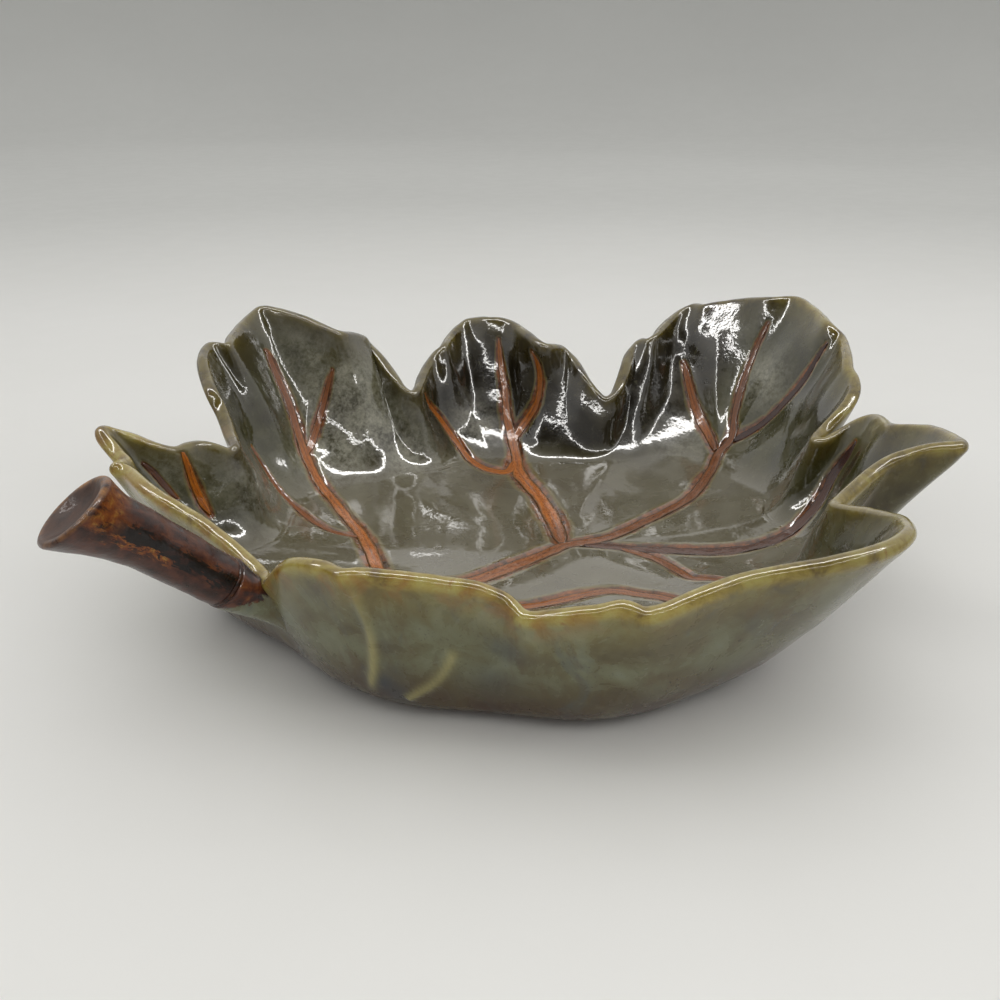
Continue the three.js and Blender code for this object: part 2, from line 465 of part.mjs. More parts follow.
// ---------------------------------------------------------------- incised veins and their fills
function stations(name) {
  const pts = VEINS[name];
  const curve = new THREE.CatmullRomCurve3(pts.map((p) => new THREE.Vector3(p[0], p[1], p[2])), false, 'centripetal');
  let length = 0;
  for (let i = 1; i < pts.length; i++) length += Math.hypot(pts[i][0] - pts[i - 1][0], pts[i][1] - pts[i - 1][1], pts[i][2] - pts[i - 1][2]);
  const n = Math.max(4, Math.round(length / VEIN_STEP));
  const list = [];
  for (let i = 0; i <= n; i++) {
    const u = curve.getUtoTmapping(i / n);
    const f = u * (pts.length - 1);
    const k = Math.min(pts.length - 2, Math.floor(f));
    list.push({ ...onInside(curve.getPoint(u)), w: pts[k][3] + (pts[k + 1][3] - pts[k][3]) * (f - k) });
  }
  for (let pass = 0; pass < 3; pass++) {          // the fill twists gently along the vein
    const ups = list.map((s) => s.up);
    list.forEach((s, i) => {
      s.up = ups[i].clone().multiplyScalar(2).add(ups[Math.max(0, i - 1)]).add(ups[Math.min(n, i + 1)]).normalize();
    });
  }
  return list;
}
function strip(list, { top, bottom, topShare, extra, stretch }) {
  const body = new Body();
  const n = list.length;
  const rings = list.map((s, i) => {
    const t = list[Math.min(n - 1, i + 1)].p.clone().sub(list[Math.max(0, i - 1)].p).normalize();
    const side = new THREE.Vector3().crossVectors(s.up, t).normalize();
    const up = new THREE.Vector3().crossVectors(t, side).normalize();
    const c = s.p.clone();
    if (i === 0) c.addScaledVector(t, -stretch);
    if (i === n - 1) c.addScaledVector(t, stretch);
    const a = s.w * topShare + extra;
    const b = s.w * 0.42 + extra;
    return body.ring([
      c.clone().addScaledVector(side, a).addScaledVector(up, top),
      c.clone().addScaledVector(side, b).addScaledVector(up, bottom),
      c.clone().addScaledVector(side, -b).addScaledVector(up, bottom),
      c.clone().addScaledVector(side, -a).addScaledVector(up, top),
    ]);
  });
  for (let i = 0; i + 1 < n; i++) body.join(rings[i], rings[i + 1]);
  const [f, l] = [rings[0], rings[n - 1]];
  body.t.push(f[0], f[2], f[1], f[0], f[3], f[2], l[0], l[1], l[2], l[0], l[2], l[3]);
  return body.solid();
}

let grooves = null;
const fills = {};
for (const name of VEIN_ORDER) {
  const list = stations(name);
  const cut = strip(list, { top: 1.4, bottom: -(VEIN_DEPTH + GAP), topShare: 0.62, extra: GAP, stretch: GAP });
  let fill = strip(list, { top: -VEIN_BELOW, bottom: -VEIN_DEPTH, topShare: 0.5, extra: 0, stretch: 0 });
  if (grooves) fill = fill.subtract(grooves);
  fills[name] = fill;
  grooves = grooves ? grooves.add(cut) : cut;
}
const bowlSolid = bowl.solid().add(boss.solid()).subtract(grooves);

// ---------------------------------------------------------------- slip film, stem, foot ring
function disc(c, radius, thick) {
  const body = new Body();
  const far = c.clone().addScaledVector(STEM_DIR, thick);
  const a = body.ring(around(c, radius, STEM_SIDES));
  const b = body.ring(around(far, radius, STEM_SIDES));
  body.join(a, b);
  body.fan(a, body.add(c), true);
  body.fan(b, body.add(far), false);
  return body.solid();
}
const slipSolid = disc(STEM_JOINT.clone().addScaledVector(STEM_DIR, GAP), SLIP_RADIUS, SLIP_THICK);

const stem = new Body();
{
  const start = STEM_JOINT.clone().addScaledVector(STEM_DIR, 2 * GAP + SLIP_THICK);
  const last = STEM_STATIONS[STEM_STATIONS.length - 1];
  const sag = (d) => {
    const f = Math.min(1, Math.max(0, (d - 26) / (last[0] - 26)));
    return -STEM_DROOP * f * f * (3 - 2 * f);
  };
  const section = (d, radius, blend) => {
    const axis = STEM_DIR.clone().lerp(STEM_CUT, blend).normalize();
    const s = SIDE.clone().addScaledVector(axis, -SIDE.dot(axis)).normalize();
    const o = new THREE.Vector3().crossVectors(s, axis).normalize();
    const c = start.clone().addScaledVector(STEM_DIR, d).addScaledVector(OVER, sag(d));
    return Array.from({ length: STEM_SIDES }, (_, i) => {
      const a = (2 * Math.PI * i) / STEM_SIDES;
      return c.clone().addScaledVector(s, radius * Math.cos(a)).addScaledVector(o, radius * Math.sin(a));
    });
  };
  const rings = STEM_STATIONS.map(([d, r]) => stem.ring(section(d, r, Math.max(0, (d - 24) / (last[0] - 24)))));
  rings.push(stem.ring(section(last[0] + STEM_LIP * 0.8, last[1] - STEM_LIP * 0.45, 1)));
  rings.push(stem.ring(section(last[0] + STEM_LIP * 0.7, last[1] - STEM_LIP * 1.5, 1)));
  rings.push(stem.ring(section(last[0] - STEM_HOLLOW * 0.55, last[1] * 0.55, 1)));
  for (let i = 0; i + 1 < rings.length; i++) stem.join(rings[i], rings[i + 1]);
  stem.fan(rings[0], stem.add(start), true);
  stem.fan(rings[rings.length - 1], stem.add(start.clone().addScaledVector(STEM_DIR, last[0] - STEM_HOLLOW).addScaledVector(OVER, sag(last[0]))), false);
}

const foot = new Body();
{
  const STEP = 18;
  const outline = (k, z) => Array.from({ length: DENSE / STEP }, (_, i) => new THREE.Vector3(Q[i * STEP][0] * k, Q[i * STEP][1] * k, z));
  const a = foot.ring(outline(FOOT_OUTER, 0));
  const b = foot.ring(outline(FOOT_OUTER, FOOT_HEIGHT));
  const c = foot.ring(outline(FOOT_INNER, FOOT_HEIGHT));
  const d = foot.ring(outline(FOOT_INNER, 0));
  foot.join(a, b); foot.join(b, c); foot.join(c, d); foot.join(d, a);
}

// ---------------------------------------------------------------- assembly
const glaze = new THREE.MeshStandardMaterial({ color: 0x5c5f4d, roughness: 0.12, metalness: 0 });
const stain = new THREE.MeshStandardMaterial({ color: 0x5e3322, roughness: 0.16, metalness: 0 });
const slip = new THREE.MeshStandardMaterial({ color: 0x8a7a45, roughness: 0.2, metalness: 0 });
const clay = new THREE.MeshStandardMaterial({ color: 0x7c5140, roughness: 0.8, metalness: 0 });
const rust = new THREE.MeshStandardMaterial({ color: 0xa35427, roughness: 0.18, metalness: 0 });

const group = new THREE.Group();
group.name = 'leaf_platter';
function place(name, solid, material) {
  const m = solid.getMesh();
  const n = m.numProp;
  const count = m.vertProperties.length / n;
  const pos = new Float32Array(count * 3);
  for (let i = 0; i < count; i++) {
    pos[3 * i] = m.vertProperties[n * i] - ORIGIN_X;
    pos[3 * i + 1] = m.vertProperties[n * i + 1] - ORIGIN_Y;
    pos[3 * i + 2] = m.vertProperties[n * i + 2];
  }
  const g = new THREE.BufferGeometry();
  g.setAttribute('position', new THREE.BufferAttribute(pos, 3));
  g.setIndex(Array.from(m.triVerts));
  g.computeVertexNormals();
  const mesh = new THREE.Mesh(g, material);
  mesh.name = name;
  group.add(mesh);
}
place('leaf_bowl', bowlSolid, glaze);
place('stem_handle', stem.solid(), stain);
place('luting_slip', slipSolid, slip);
place('foot_ring', foot.solid(), clay);
for (const name of VEIN_ORDER) place(name, fills[name], rust);

export default group;
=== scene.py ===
"""Looks of the leaf dish: a seven-lobed bowl of glossy glazed ceramic with rust-coloured
veins, a stained stem, a bead of slip at the joint and a bare foot ring.
Lengths in the tables are millimetres in the leaf's own frame; to_m() takes them to the part's frame."""

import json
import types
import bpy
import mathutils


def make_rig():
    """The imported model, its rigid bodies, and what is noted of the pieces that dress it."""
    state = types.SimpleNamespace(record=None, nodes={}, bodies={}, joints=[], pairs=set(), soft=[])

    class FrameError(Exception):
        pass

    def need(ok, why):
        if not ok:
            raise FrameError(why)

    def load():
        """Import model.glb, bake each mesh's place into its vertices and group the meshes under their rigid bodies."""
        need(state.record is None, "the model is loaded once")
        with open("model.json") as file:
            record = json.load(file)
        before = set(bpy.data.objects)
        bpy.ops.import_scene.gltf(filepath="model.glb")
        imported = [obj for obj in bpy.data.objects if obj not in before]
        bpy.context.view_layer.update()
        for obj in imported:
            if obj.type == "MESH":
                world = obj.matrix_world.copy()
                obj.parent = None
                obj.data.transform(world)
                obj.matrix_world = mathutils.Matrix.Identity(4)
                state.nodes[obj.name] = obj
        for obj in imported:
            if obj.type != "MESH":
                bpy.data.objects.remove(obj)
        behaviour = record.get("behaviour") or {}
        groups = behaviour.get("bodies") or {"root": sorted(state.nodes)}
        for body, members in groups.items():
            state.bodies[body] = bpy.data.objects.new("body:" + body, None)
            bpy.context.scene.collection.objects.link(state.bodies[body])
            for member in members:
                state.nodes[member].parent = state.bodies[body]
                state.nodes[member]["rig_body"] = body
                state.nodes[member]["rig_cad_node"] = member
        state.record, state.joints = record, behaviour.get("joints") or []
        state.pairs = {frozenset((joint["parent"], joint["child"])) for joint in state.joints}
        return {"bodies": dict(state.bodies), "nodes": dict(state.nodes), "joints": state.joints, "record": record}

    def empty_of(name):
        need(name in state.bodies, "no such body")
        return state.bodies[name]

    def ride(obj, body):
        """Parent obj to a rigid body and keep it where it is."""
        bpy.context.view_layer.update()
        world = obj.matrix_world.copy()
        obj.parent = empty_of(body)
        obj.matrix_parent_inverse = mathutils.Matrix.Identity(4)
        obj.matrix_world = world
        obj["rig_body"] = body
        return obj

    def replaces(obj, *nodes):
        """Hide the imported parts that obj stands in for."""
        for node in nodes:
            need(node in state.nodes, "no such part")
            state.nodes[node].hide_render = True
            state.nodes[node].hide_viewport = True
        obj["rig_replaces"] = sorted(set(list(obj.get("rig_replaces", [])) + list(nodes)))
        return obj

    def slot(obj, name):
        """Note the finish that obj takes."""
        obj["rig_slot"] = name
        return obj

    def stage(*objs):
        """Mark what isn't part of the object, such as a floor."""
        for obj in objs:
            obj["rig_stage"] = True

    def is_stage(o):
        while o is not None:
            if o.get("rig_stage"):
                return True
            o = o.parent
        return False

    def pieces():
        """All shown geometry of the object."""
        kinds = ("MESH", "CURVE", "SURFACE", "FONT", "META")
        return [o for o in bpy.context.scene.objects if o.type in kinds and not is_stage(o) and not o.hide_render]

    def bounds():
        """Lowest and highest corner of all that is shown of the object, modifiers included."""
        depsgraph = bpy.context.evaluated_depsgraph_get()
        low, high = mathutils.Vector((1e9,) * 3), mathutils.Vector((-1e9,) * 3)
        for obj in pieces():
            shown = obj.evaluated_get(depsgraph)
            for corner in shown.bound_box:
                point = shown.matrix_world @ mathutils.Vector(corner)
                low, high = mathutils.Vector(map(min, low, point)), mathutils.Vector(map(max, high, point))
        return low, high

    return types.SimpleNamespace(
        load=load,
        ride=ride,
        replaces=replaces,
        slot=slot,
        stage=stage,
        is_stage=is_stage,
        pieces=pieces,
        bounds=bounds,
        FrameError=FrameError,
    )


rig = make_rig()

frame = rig.load()

import json
import math

import bpy
import numpy as np
from mathutils import Vector
from mathutils.bvhtree import BVHTree

CAD_BOX = [list(v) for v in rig.bounds()]
ORIGIN = np.array([-11.71, -0.53, 0.0])

# Rim crest, clockwise seen from above, from the stem root round the seven lobes.
RIM = np.array([
  [-109.9, -7.4, 33.7], [-108.4, -2.9, 33.1], [-108.7, 4.9, 35.6], [-110.2, 13.8, 39.1], [-112.1, 21.8, 42.2],
  [-114.2, 29.9, 44.5], [-116.4, 36.4, 46.5], [-117.9, 44.2, 48.7], [-118.0, 54.9, 50.4], [-120.0, 56.2, 50.8],
  [-116.2, 61.3, 50.1], [-114.4, 61.8, 49.9], [-114.4, 67.5, 51.2], [-115.0, 71.5, 53.5], [-115.5, 74.8, 55.3],
  [-114.9, 76.4, 56.1], [-112.2, 77.7, 55.9], [-108.7, 75.9, 54.6], [-104.5, 73.5, 52.7], [-101.1, 71.1, 50.5],
  [-97.6, 68.5, 48.8], [-94.6, 68.0, 47.9], [-91.0, 68.9, 47.9], [-87.0, 69.3, 47.8], [-83.5, 68.2, 47.0],
  [-80.0, 67.8, 45.3], [-77.4, 67.6, 43.8], [-75.8, 66.5, 44.0], [-70.4, 79.2, 46.9], [-67.8, 88.1, 51.3],
  [-68.1, 92.1, 55.7], [-65.3, 101.2, 59.6], [-62.1, 108.5, 62.6], [-57.8, 114.4, 64.3], [-54.0, 116.8, 65.1],
  [-51.6, 115.5, 65.3], [-50.9, 111.1, 65.6], [-46.4, 116.0, 66.5], [-39.2, 122.5, 68.0], [-33.9, 126.3, 69.5],
  [-29.9, 127.8, 70.9], [-25.8, 128.6, 72.1], [-23.8, 126.2, 72.6], [-20.0, 122.6, 71.8], [-15.6, 116.1, 70.0],
  [-11.5, 109.3, 67.4], [-8.2, 103.3, 64.9], [-0.9, 105.4, 62.7], [4.9, 107.2, 60.3], [9.3, 108.3, 57.4],
  [9.2, 102.0, 53.9], [9.3, 96.0, 49.9], [9.2, 89.9, 46.1], [10.6, 87.5, 43.2], [11.6, 85.1, 41.9],
  [14.8, 86.1, 42.7], [20.7, 91.0, 44.9], [28.0, 96.2, 47.8], [33.5, 98.0, 50.6], [35.6, 96.1, 53.0],
  [43.9, 101.6, 55.1], [50.8, 104.8, 57.2], [56.6, 105.2, 59.1], [59.0, 99.4, 60.5], [60.5, 94.9, 61.0],
  [63.7, 91.2, 60.8], [65.1, 85.1, 59.9], [63.1, 75.9, 58.5], [61.2, 68.2, 57.0], [61.8, 64.4, 55.6],
  [68.1, 64.6, 54.1], [72.9, 64.9, 52.1], [72.9, 58.7, 49.2], [71.2, 52.1, 45.5], [71.4, 47.9, 41.5],
  [73.0, 45.5, 38.1], [73.6, 42.3, 36.7], [76.4, 41.2, 38.0], [80.6, 41.6, 41.5], [87.9, 45.3, 45.9],
  [96.0, 50.6, 49.6], [100.6, 52.1, 51.9], [102.2, 50.5, 53.1], [101.7, 46.4, 54.3], [104.9, 45.6, 56.0],
  [112.3, 47.8, 58.2], [119.8, 49.5, 60.5], [126.0, 49.5, 62.5], [130.3, 46.9, 63.9], [129.3, 40.4, 65.1],
  [131.1, 36.4, 66.3], [132.7, 30.6, 67.7], [134.7, 22.5, 69.5], [135.0, 13.3, 71.2], [139.3, 4.7, 72.3],
  [138.8, 0.7, 72.2], [136.4, -5.1, 71.1], [131.7, -13.2, 69.6], [126.0, -21.0, 67.9], [125.8, -23.9, 66.2],
  [126.2, -26.4, 64.3], [120.0, -32.2, 62.3], [112.1, -38.3, 60.4], [108.5, -41.2, 58.7], [105.9, -45.0, 57.0],
  [102.4, -48.2, 55.1], [97.5, -50.3, 52.9], [93.5, -50.8, 50.6], [89.2, -50.7, 48.3], [85.9, -50.0, 46.0],
  [82.7, -49.3, 43.7], [75.7, -51.0, 42.1], [77.5, -53.2, 42.3], [81.9, -54.7, 44.1], [85.6, -56.6, 46.5],
  [87.2, -59.9, 48.7], [87.8, -64.2, 50.2], [84.9, -69.1, 51.3], [78.9, -74.6, 52.1], [75.3, -79.1, 53.3],
  [74.7, -85.3, 54.9], [72.5, -92.9, 56.5], [67.5, -100.9, 57.5], [63.5, -106.0, 58.1], [60.2, -109.2, 58.4],
  [57.1, -109.6, 58.6], [55.8, -106.3, 58.4], [53.0, -101.9, 57.4], [49.9, -97.7, 55.5], [46.9, -94.3, 53.2],
  [41.0, -93.1, 50.9], [34.1, -93.0, 48.9], [28.4, -93.2, 47.4], [23.4, -93.6, 46.4], [19.6, -94.5, 46.2],
  [18.2, -97.8, 46.9], [16.1, -103.2, 48.5], [13.4, -110.1, 50.3], [10.1, -116.6, 52.0], [7.2, -121.0, 53.3],
  [3.3, -124.8, 54.2], [-0.8, -127.8, 54.6], [-5.6, -129.5, 54.7], [-10.6, -129.8, 54.4], [-15.5, -128.8, 54.0],
  [-20.1, -127.2, 53.5], [-25.0, -125.0, 53.0], [-29.4, -122.6, 52.5], [-33.3, -119.9, 52.0], [-36.8, -117.4, 51.5],
  [-41.1, -115.0, 51.0], [-45.2, -112.4, 50.4], [-49.4, -110.1, 49.6], [-54.0, -108.6, 48.8], [-58.2, -107.1, 47.9],
  [-61.9, -105.9, 46.9], [-65.2, -104.4, 45.9], [-67.3, -102.4, 45.2], [-68.0, -100.9, 44.8], [-68.2, -99.6, 45.0],
  [-68.6, -97.6, 45.3], [-69.8, -95.5, 45.5], [-71.6, -94.2, 45.1], [-73.4, -92.2, 44.2], [-75.9, -88.2, 43.1],
  [-78.3, -84.3, 41.9], [-79.9, -81.0, 41.0], [-81.1, -78.8, 40.3], [-83.0, -76.8, 40.2], [-82.8, -74.8, 41.0],
  [-82.8, -72.0, 42.3], [-84.3, -70.2, 43.7], [-86.4, -67.3, 44.9], [-88.9, -64.8, 45.9], [-92.5, -61.8, 46.7],
  [-95.7, -58.3, 47.3], [-99.0, -54.9, 47.7], [-100.5, -53.0, 47.8], [-104.5, -46.6, 47.6], [-106.4, -43.1, 47.3],
  [-108.9, -41.4, 47.0], [-109.6, -39.4, 47.0], [-109.7, -35.4, 47.3], [-111.0, -31.7, 47.2], [-111.9, -27.8, 46.5],
  [-112.6, -23.4, 45.0], [-112.2, -18.3, 42.1], [-110.7, -12.1, 37.6],
])
# Level run of the wall for each millimetre of rise, by direction in degrees.
WALL_RUN = [
    (-180, 0.5), (-168, 0.38), (-152, 0.3), (-136, 0.34), (-115, 0.62), (-95, 0.9), (-78, 0.65), (-62, 0.75), (-45, 0.6), (-30, 0.5), (0, 0.8), (28, 0.42), (42, 0.5), (61, 0.7), (84, 0.42), (100, 0.75), (135, 0.45), (148, 0.55), (165, 0.5), (180, 0.5),
]
# Incised veins: points on the inside of the bowl and the width there.
VEINS = {
  "vein_midrib": [
    [-96.5, 0.4, 14.2, 1.6], [-93.0, 0.5, 13.0, 2.6], [-82.0, 1.8, 11.3, 3.4], [-70.0, 3.2, 9.8, 4.4],
    [-58.0, 4.4, 8.6, 5.2], [-49.6, 4.6, 8.0, 5.8], [-41.9, 1.8, 7.5, 6.0], [-34.3, -1.3, 7.2, 6.2],
    [-22.0, -1.7, 7.0, 6.2], [-8.4, -1.4, 7.0, 6.0], [3.5, -1.1, 7.0, 5.8], [7.8, -0.5, 7.0, 5.6],
    [17.0, -4.2, 7.0, 5.4], [25.1, -6.0, 7.1, 5.2], [40.5, -6.0, 7.7, 5.0], [53.7, -6.1, 8.7, 4.8],
    [68.5, -5.3, 10.4, 4.6], [77.0, -3.0, 11.5, 4.4], [91.8, 3.2, 14.2, 4.2], [98.4, 6.3, 17.9, 4.2],
    [102.8, 4.3, 22.3, 4.0], [108.0, 7.8, 27.7, 3.4], [112.7, 10.0, 34.4, 3.2], [117.5, 11.0, 42.5, 2.9],
    [122.6, 10.9, 51.7, 2.4], [129.2, 9.2, 62.8, 1.3],
  ],
  "vein_c_trunk": [
    [9.4, 1.6, 7.0, 6.0], [19.3, 14.9, 7.2, 6.4], [29.0, 31.5, 8.6, 6.2], [33.7, 43.3, 10.0, 6.0],
    [37.3, 52.6, 11.4, 5.8], [44.2, 61.7, 14.4, 4.6], [47.3, 68.0, 19.6, 4.0], [49.8, 74.2, 26.6, 3.6],
    [52.9, 78.8, 35.8, 3.0], [55.4, 83.9, 44.6, 2.4], [58.5, 87.9, 54.0, 1.4],
  ],
  "vein_b_trunk": [
    [-62.0, 6.5, 8.9, 4.4], [-56.5, 14.5, 8.4, 5.0], [-52.7, 20.9, 8.1, 5.4], [-50.2, 25.9, 8.1, 5.4],
    [-44.5, 37.3, 9.0, 5.2], [-39.8, 48.8, 9.5, 5.0], [-36.2, 61.8, 10.5, 4.6], [-31.7, 79.1, 13.1, 4.4],
    [-30.7, 88.9, 19.0, 4.2], [-29.9, 94.1, 24.5, 4.2], [-29.1, 99.8, 31.8, 3.6], [-28.4, 106.4, 41.7, 3.2],
    [-28.8, 111.5, 49.5, 2.8], [-29.4, 115.9, 56.3, 2.2], [-30.0, 117.5, 58.8, 1.4],
  ],
  "vein_e": [
    [13.5, -5.0, 7.0, 4.4], [17.0, -8.9, 7.0, 4.6], [26.3, -23.4, 7.5, 5.2], [30.9, -30.2, 8.0, 5.6],
    [37.6, -41.1, 9.2, 6.0], [43.0, -46.9, 10.2, 5.8], [50.8, -51.5, 11.5, 5.4], [58.8, -53.1, 12.9, 5.0],
    [65.0, -54.4, 15.9, 4.4], [69.2, -55.7, 20.6, 3.8], [72.7, -56.7, 26.0, 3.2], [75.9, -57.4, 31.8, 2.8],
    [78.8, -59.8, 37.7, 2.2], [81.1, -61.5, 42.4, 1.3],
  ],
  "vein_f_trunk": [
    [-60.0, -1.5, 8.9, 4.0], [-52.0, -14.0, 8.1, 4.4], [-42.0, -22.0, 7.7, 4.8], [-30.2, -27.7, 7.4, 5.0],
    [-21.7, -30.3, 7.3, 5.2], [-13.1, -32.5, 7.3, 5.0], [-5.9, -36.6, 7.4, 4.8], [-3.5, -42.7, 7.8, 4.4],
    [-0.5, -52.0, 8.6, 4.2], [-1.5, -66.0, 10.4, 3.8], [-3.0, -82.0, 12.7, 3.4], [-5.0, -95.0, 17.4, 2.8],
    [-6.5, -107.0, 29.3, 2.2], [-7.8, -115.0, 38.4, 1.3],
  ],
  "vein_f_short": [
    [20.5, -14.7, 7.1, 3.4], [21.4, -22.8, 7.3, 3.8], [21.8, -29.4, 7.5, 4.0], [19.5, -37.6, 8.1, 4.0],
    [16.8, -44.7, 8.9, 3.8], [15.0, -49.8, 9.5, 3.4], [18.0, -56.0, 10.7, 3.0], [16.5, -66.0, 12.0, 2.2],
    [15.0, -74.0, 13.4, 1.3],
  ],
  "vein_d_right": [
    [102.9, 3.4, 22.5, 3.4], [105.4, -1.4, 26.3, 3.4], [107.9, -6.9, 31.5, 3.2], [110.8, -11.8, 38.7, 3.2],
    [114.0, -16.7, 47.2, 3.0], [116.5, -19.1, 53.0, 2.4], [119.3, -21.4, 58.6, 1.8], [121.1, -22.8, 61.9, 1.2],
  ],
  "vein_d_left": [
    [99.0, 8.3, 18.1, 3.0], [103.9, 16.4, 22.1, 3.4], [106.5, 22.1, 25.5, 3.8], [109.2, 28.3, 31.5, 3.4],
    [111.9, 33.6, 38.6, 2.8], [114.5, 38.3, 44.6, 1.6],
  ],
  "vein_c_right": [
    [46.3, 66.3, 17.7, 3.0], [49.6, 67.0, 22.2, 3.6], [52.6, 65.1, 27.7, 4.0], [55.0, 62.6, 33.5, 3.8],
    [57.2, 62.8, 41.9, 3.4], [57.9, 64.7, 47.9, 2.6], [58.3, 68.5, 52.2, 1.5],
  ],
  "vein_c_left": [
    [41.5, 60.5, 13.1, 4.4], [34.9, 56.3, 11.4, 4.4], [32.1, 60.0, 11.5, 4.2], [29.9, 65.6, 12.2, 4.0],
    [29.8, 72.5, 13.7, 3.6], [29.5, 79.3, 19.1, 3.2], [27.8, 82.5, 24.4, 2.8], [25.2, 84.8, 30.1, 2.4],
    [21.1, 85.1, 35.3, 2.0], [18.7, 85.0, 39.4, 1.3],
  ],
  "vein_b_right": [
    [-29.5, 94.1, 24.4, 2.6], [-26.3, 96.0, 26.6, 2.8], [-22.6, 98.5, 30.7, 2.8], [-17.1, 101.0, 40.6, 2.4],
    [-14.2, 101.4, 47.7, 1.9], [-12.7, 101.2, 51.3, 1.3],
  ],
  "vein_b_lower": [
    [-42.2, 47.2, 9.6, 3.2], [-46.8, 52.2, 10.4, 3.2], [-48.7, 62.9, 11.8, 3.0], [-47.9, 75.8, 13.7, 2.8],
    [-49.4, 83.0, 18.8, 2.4], [-50.1, 89.5, 25.8, 1.9], [-52.3, 92.9, 32.5, 1.2],
  ],
  "vein_a": [
    [-93.7, 65.9, 47.6, 1.6], [-92.2, 64.3, 40.7, 2.8], [-91.0, 63.2, 34.8, 3.4], [-89.3, 61.7, 28.7, 3.2],
    [-87.8, 60.6, 25.2, 1.8],
  ],
  "vein_a_outer": [
    [-104.7, 69.7, 44.5, 1.0], [-102.2, 68.2, 41.5, 1.4], [-99.1, 65.7, 35.8, 1.4], [-96.7, 64.0, 32.0, 1.0],
  ],
  "vein_g": [
    [-86.0, -28.0, 12.0, 2.2], [-92.4, -32.1, 13.0, 2.8], [-96.2, -37.5, 19.8, 2.8], [-99.3, -40.5, 30.5, 2.6],
    [-101.4, -41.3, 37.2, 2.2], [-103.5, -41.3, 42.5, 1.3],
  ],
  "vein_g_outer": [
    [-86.0, -42.0, 12.7, 1.6], [-87.0, -43.9, 13.2, 2.2], [-85.7, -49.8, 16.0, 2.2], [-85.7, -54.2, 21.5, 1.8],
    [-85.7, -56.5, 26.1, 1.2],
  ],
}
# Raised ridges on the outside of the lobe beside the stem.
RIDGES = [
    [(-108.3, -43.6, 44.6), (-105.7, -43.5, 37.7), (-103.0, -43.3, 30.1), (-100.5, -40.5, 18.9), (-96.3, -33.5, 4.6)],
    [(-93.0, -44.0, 6.0), (-92.7, -45.9, 8.0), (-90.6, -53.6, 14.9), (-89.9, -57.7, 21.4), (-90.0, -59.8, 26.5)],
]
FLOOR_MID, FLOOR_HALF, WALL_HALF, ROUNDING = 4.65, 2.35, 2.2, 0.30
RIM_EVENING, DISH, DISH_FLAT = [0.0, 2.0, 5.0, 9.0, 15.0], 6.0, 0.22
STEM_DIR = np.array([-0.757, 0.0, 0.654]); STEM_DIR /= np.linalg.norm(STEM_DIR)
STEM_JOINT = np.array([-118.0, 0.0, 32.6])
STEM_CUT = np.array([-0.58, 0.22, 0.785]); STEM_CUT /= np.linalg.norm(STEM_CUT)
STEM_STATIONS = [(0, 6.9), (4, 6.95), (9, 6.9), (15, 7.1), (21, 7.35), (27, 7.7), (33, 8.2), (38, 8.9), (41, 9.7), (43.8, 10.6), (45.3, 11.1)]


def to_m(p):
    return (np.asarray(p, float) - ORIGIN) * 0.001


def unit(a):
    return a / np.maximum(np.linalg.norm(a, axis=-1, keepdims=True), 1e-9)


def step(a, b, x):
    t = np.clip((x - a) / (b - a), 0, 1)
    return t * t * (3 - 2 * t)


def lattice(i, j, k, seed):
    h = (i * 73856093) ^ (j * 19349663) ^ (k * 83492791) ^ (seed * 2654435761)
    h &= 0xFFFFFFFF
    h = ((h ^ (h >> 13)) * 1274126177) & 0xFFFFFFFF
    h = h ^ (h >> 16)
    return (h & 0xFFFF) / 32767.5 - 1.0


def noise(p, size, seed):
    """Smooth noise of about -1 to 1, with features of that size in mm."""
    c, s = math.cos(seed * 1.7), math.sin(seed * 1.7)
    q = np.stack([p[:, 0] * c - p[:, 1] * s, p[:, 0] * s + p[:, 1] * c, p[:, 2] + 0.31 * p[:, 0]], 1) / size + 100.5
    i = np.floor(q).astype(np.int64)
    f = q - i
    u = f * f * f * (f * (f * 6 - 15) + 10)
    out = np.zeros(len(p))
    for dx in (0, 1):
        for dy in (0, 1):
            for dz in (0, 1):
                w = (u[:, 0] if dx else 1 - u[:, 0]) * (u[:, 1] if dy else 1 - u[:, 1]) * (u[:, 2] if dz else 1 - u[:, 2])
                out += w * lattice(i[:, 0] + dx, i[:, 1] + dy, i[:, 2] + dz, seed)
    return out


# ------------------------------------------------------------------ rim, floor outline and wall
D = 960


def catmull(p, u, closed):
    n = len(p) if closed else len(p) - 1
    x = np.clip(np.asarray(u) * n, 0, n - (0 if closed else 1e-9))
    i = np.floor(x).astype(int)
    f = (x - i)[:, None]
    if closed:
        p0, p1, p2, p3 = p[(i - 1) % n], p[i % n], p[(i + 1) % n], p[(i + 2) % n]
    else:
        e = np.vstack([2 * p[:1] - p[1:2], p, 2 * p[-1:] - p[-2:-1]])
        p0, p1, p2, p3 = e[i], e[i + 1], e[i + 2], e[i + 3]

    def gap(a, b):
        return np.maximum(np.linalg.norm((a - b)[:, :3], axis=1) ** 0.5, 1e-4)[:, None]
    d0, d1, d2 = gap(p0, p1), gap(p1, p2), gap(p2, p3)
    t1 = ((p1 - p0) / d0 - (p2 - p0) / (d0 + d1) + (p2 - p1) / d1) * d1
    t2 = ((p2 - p1) / d1 - (p3 - p1) / (d1 + d2) + (p3 - p2) / d2) * d1
    return p1 + t1 * f + (-3 * p1 + 3 * p2 - 2 * t1 - t2) * f * f + (2 * p1 - 2 * p2 + t1 + t2) * f ** 3


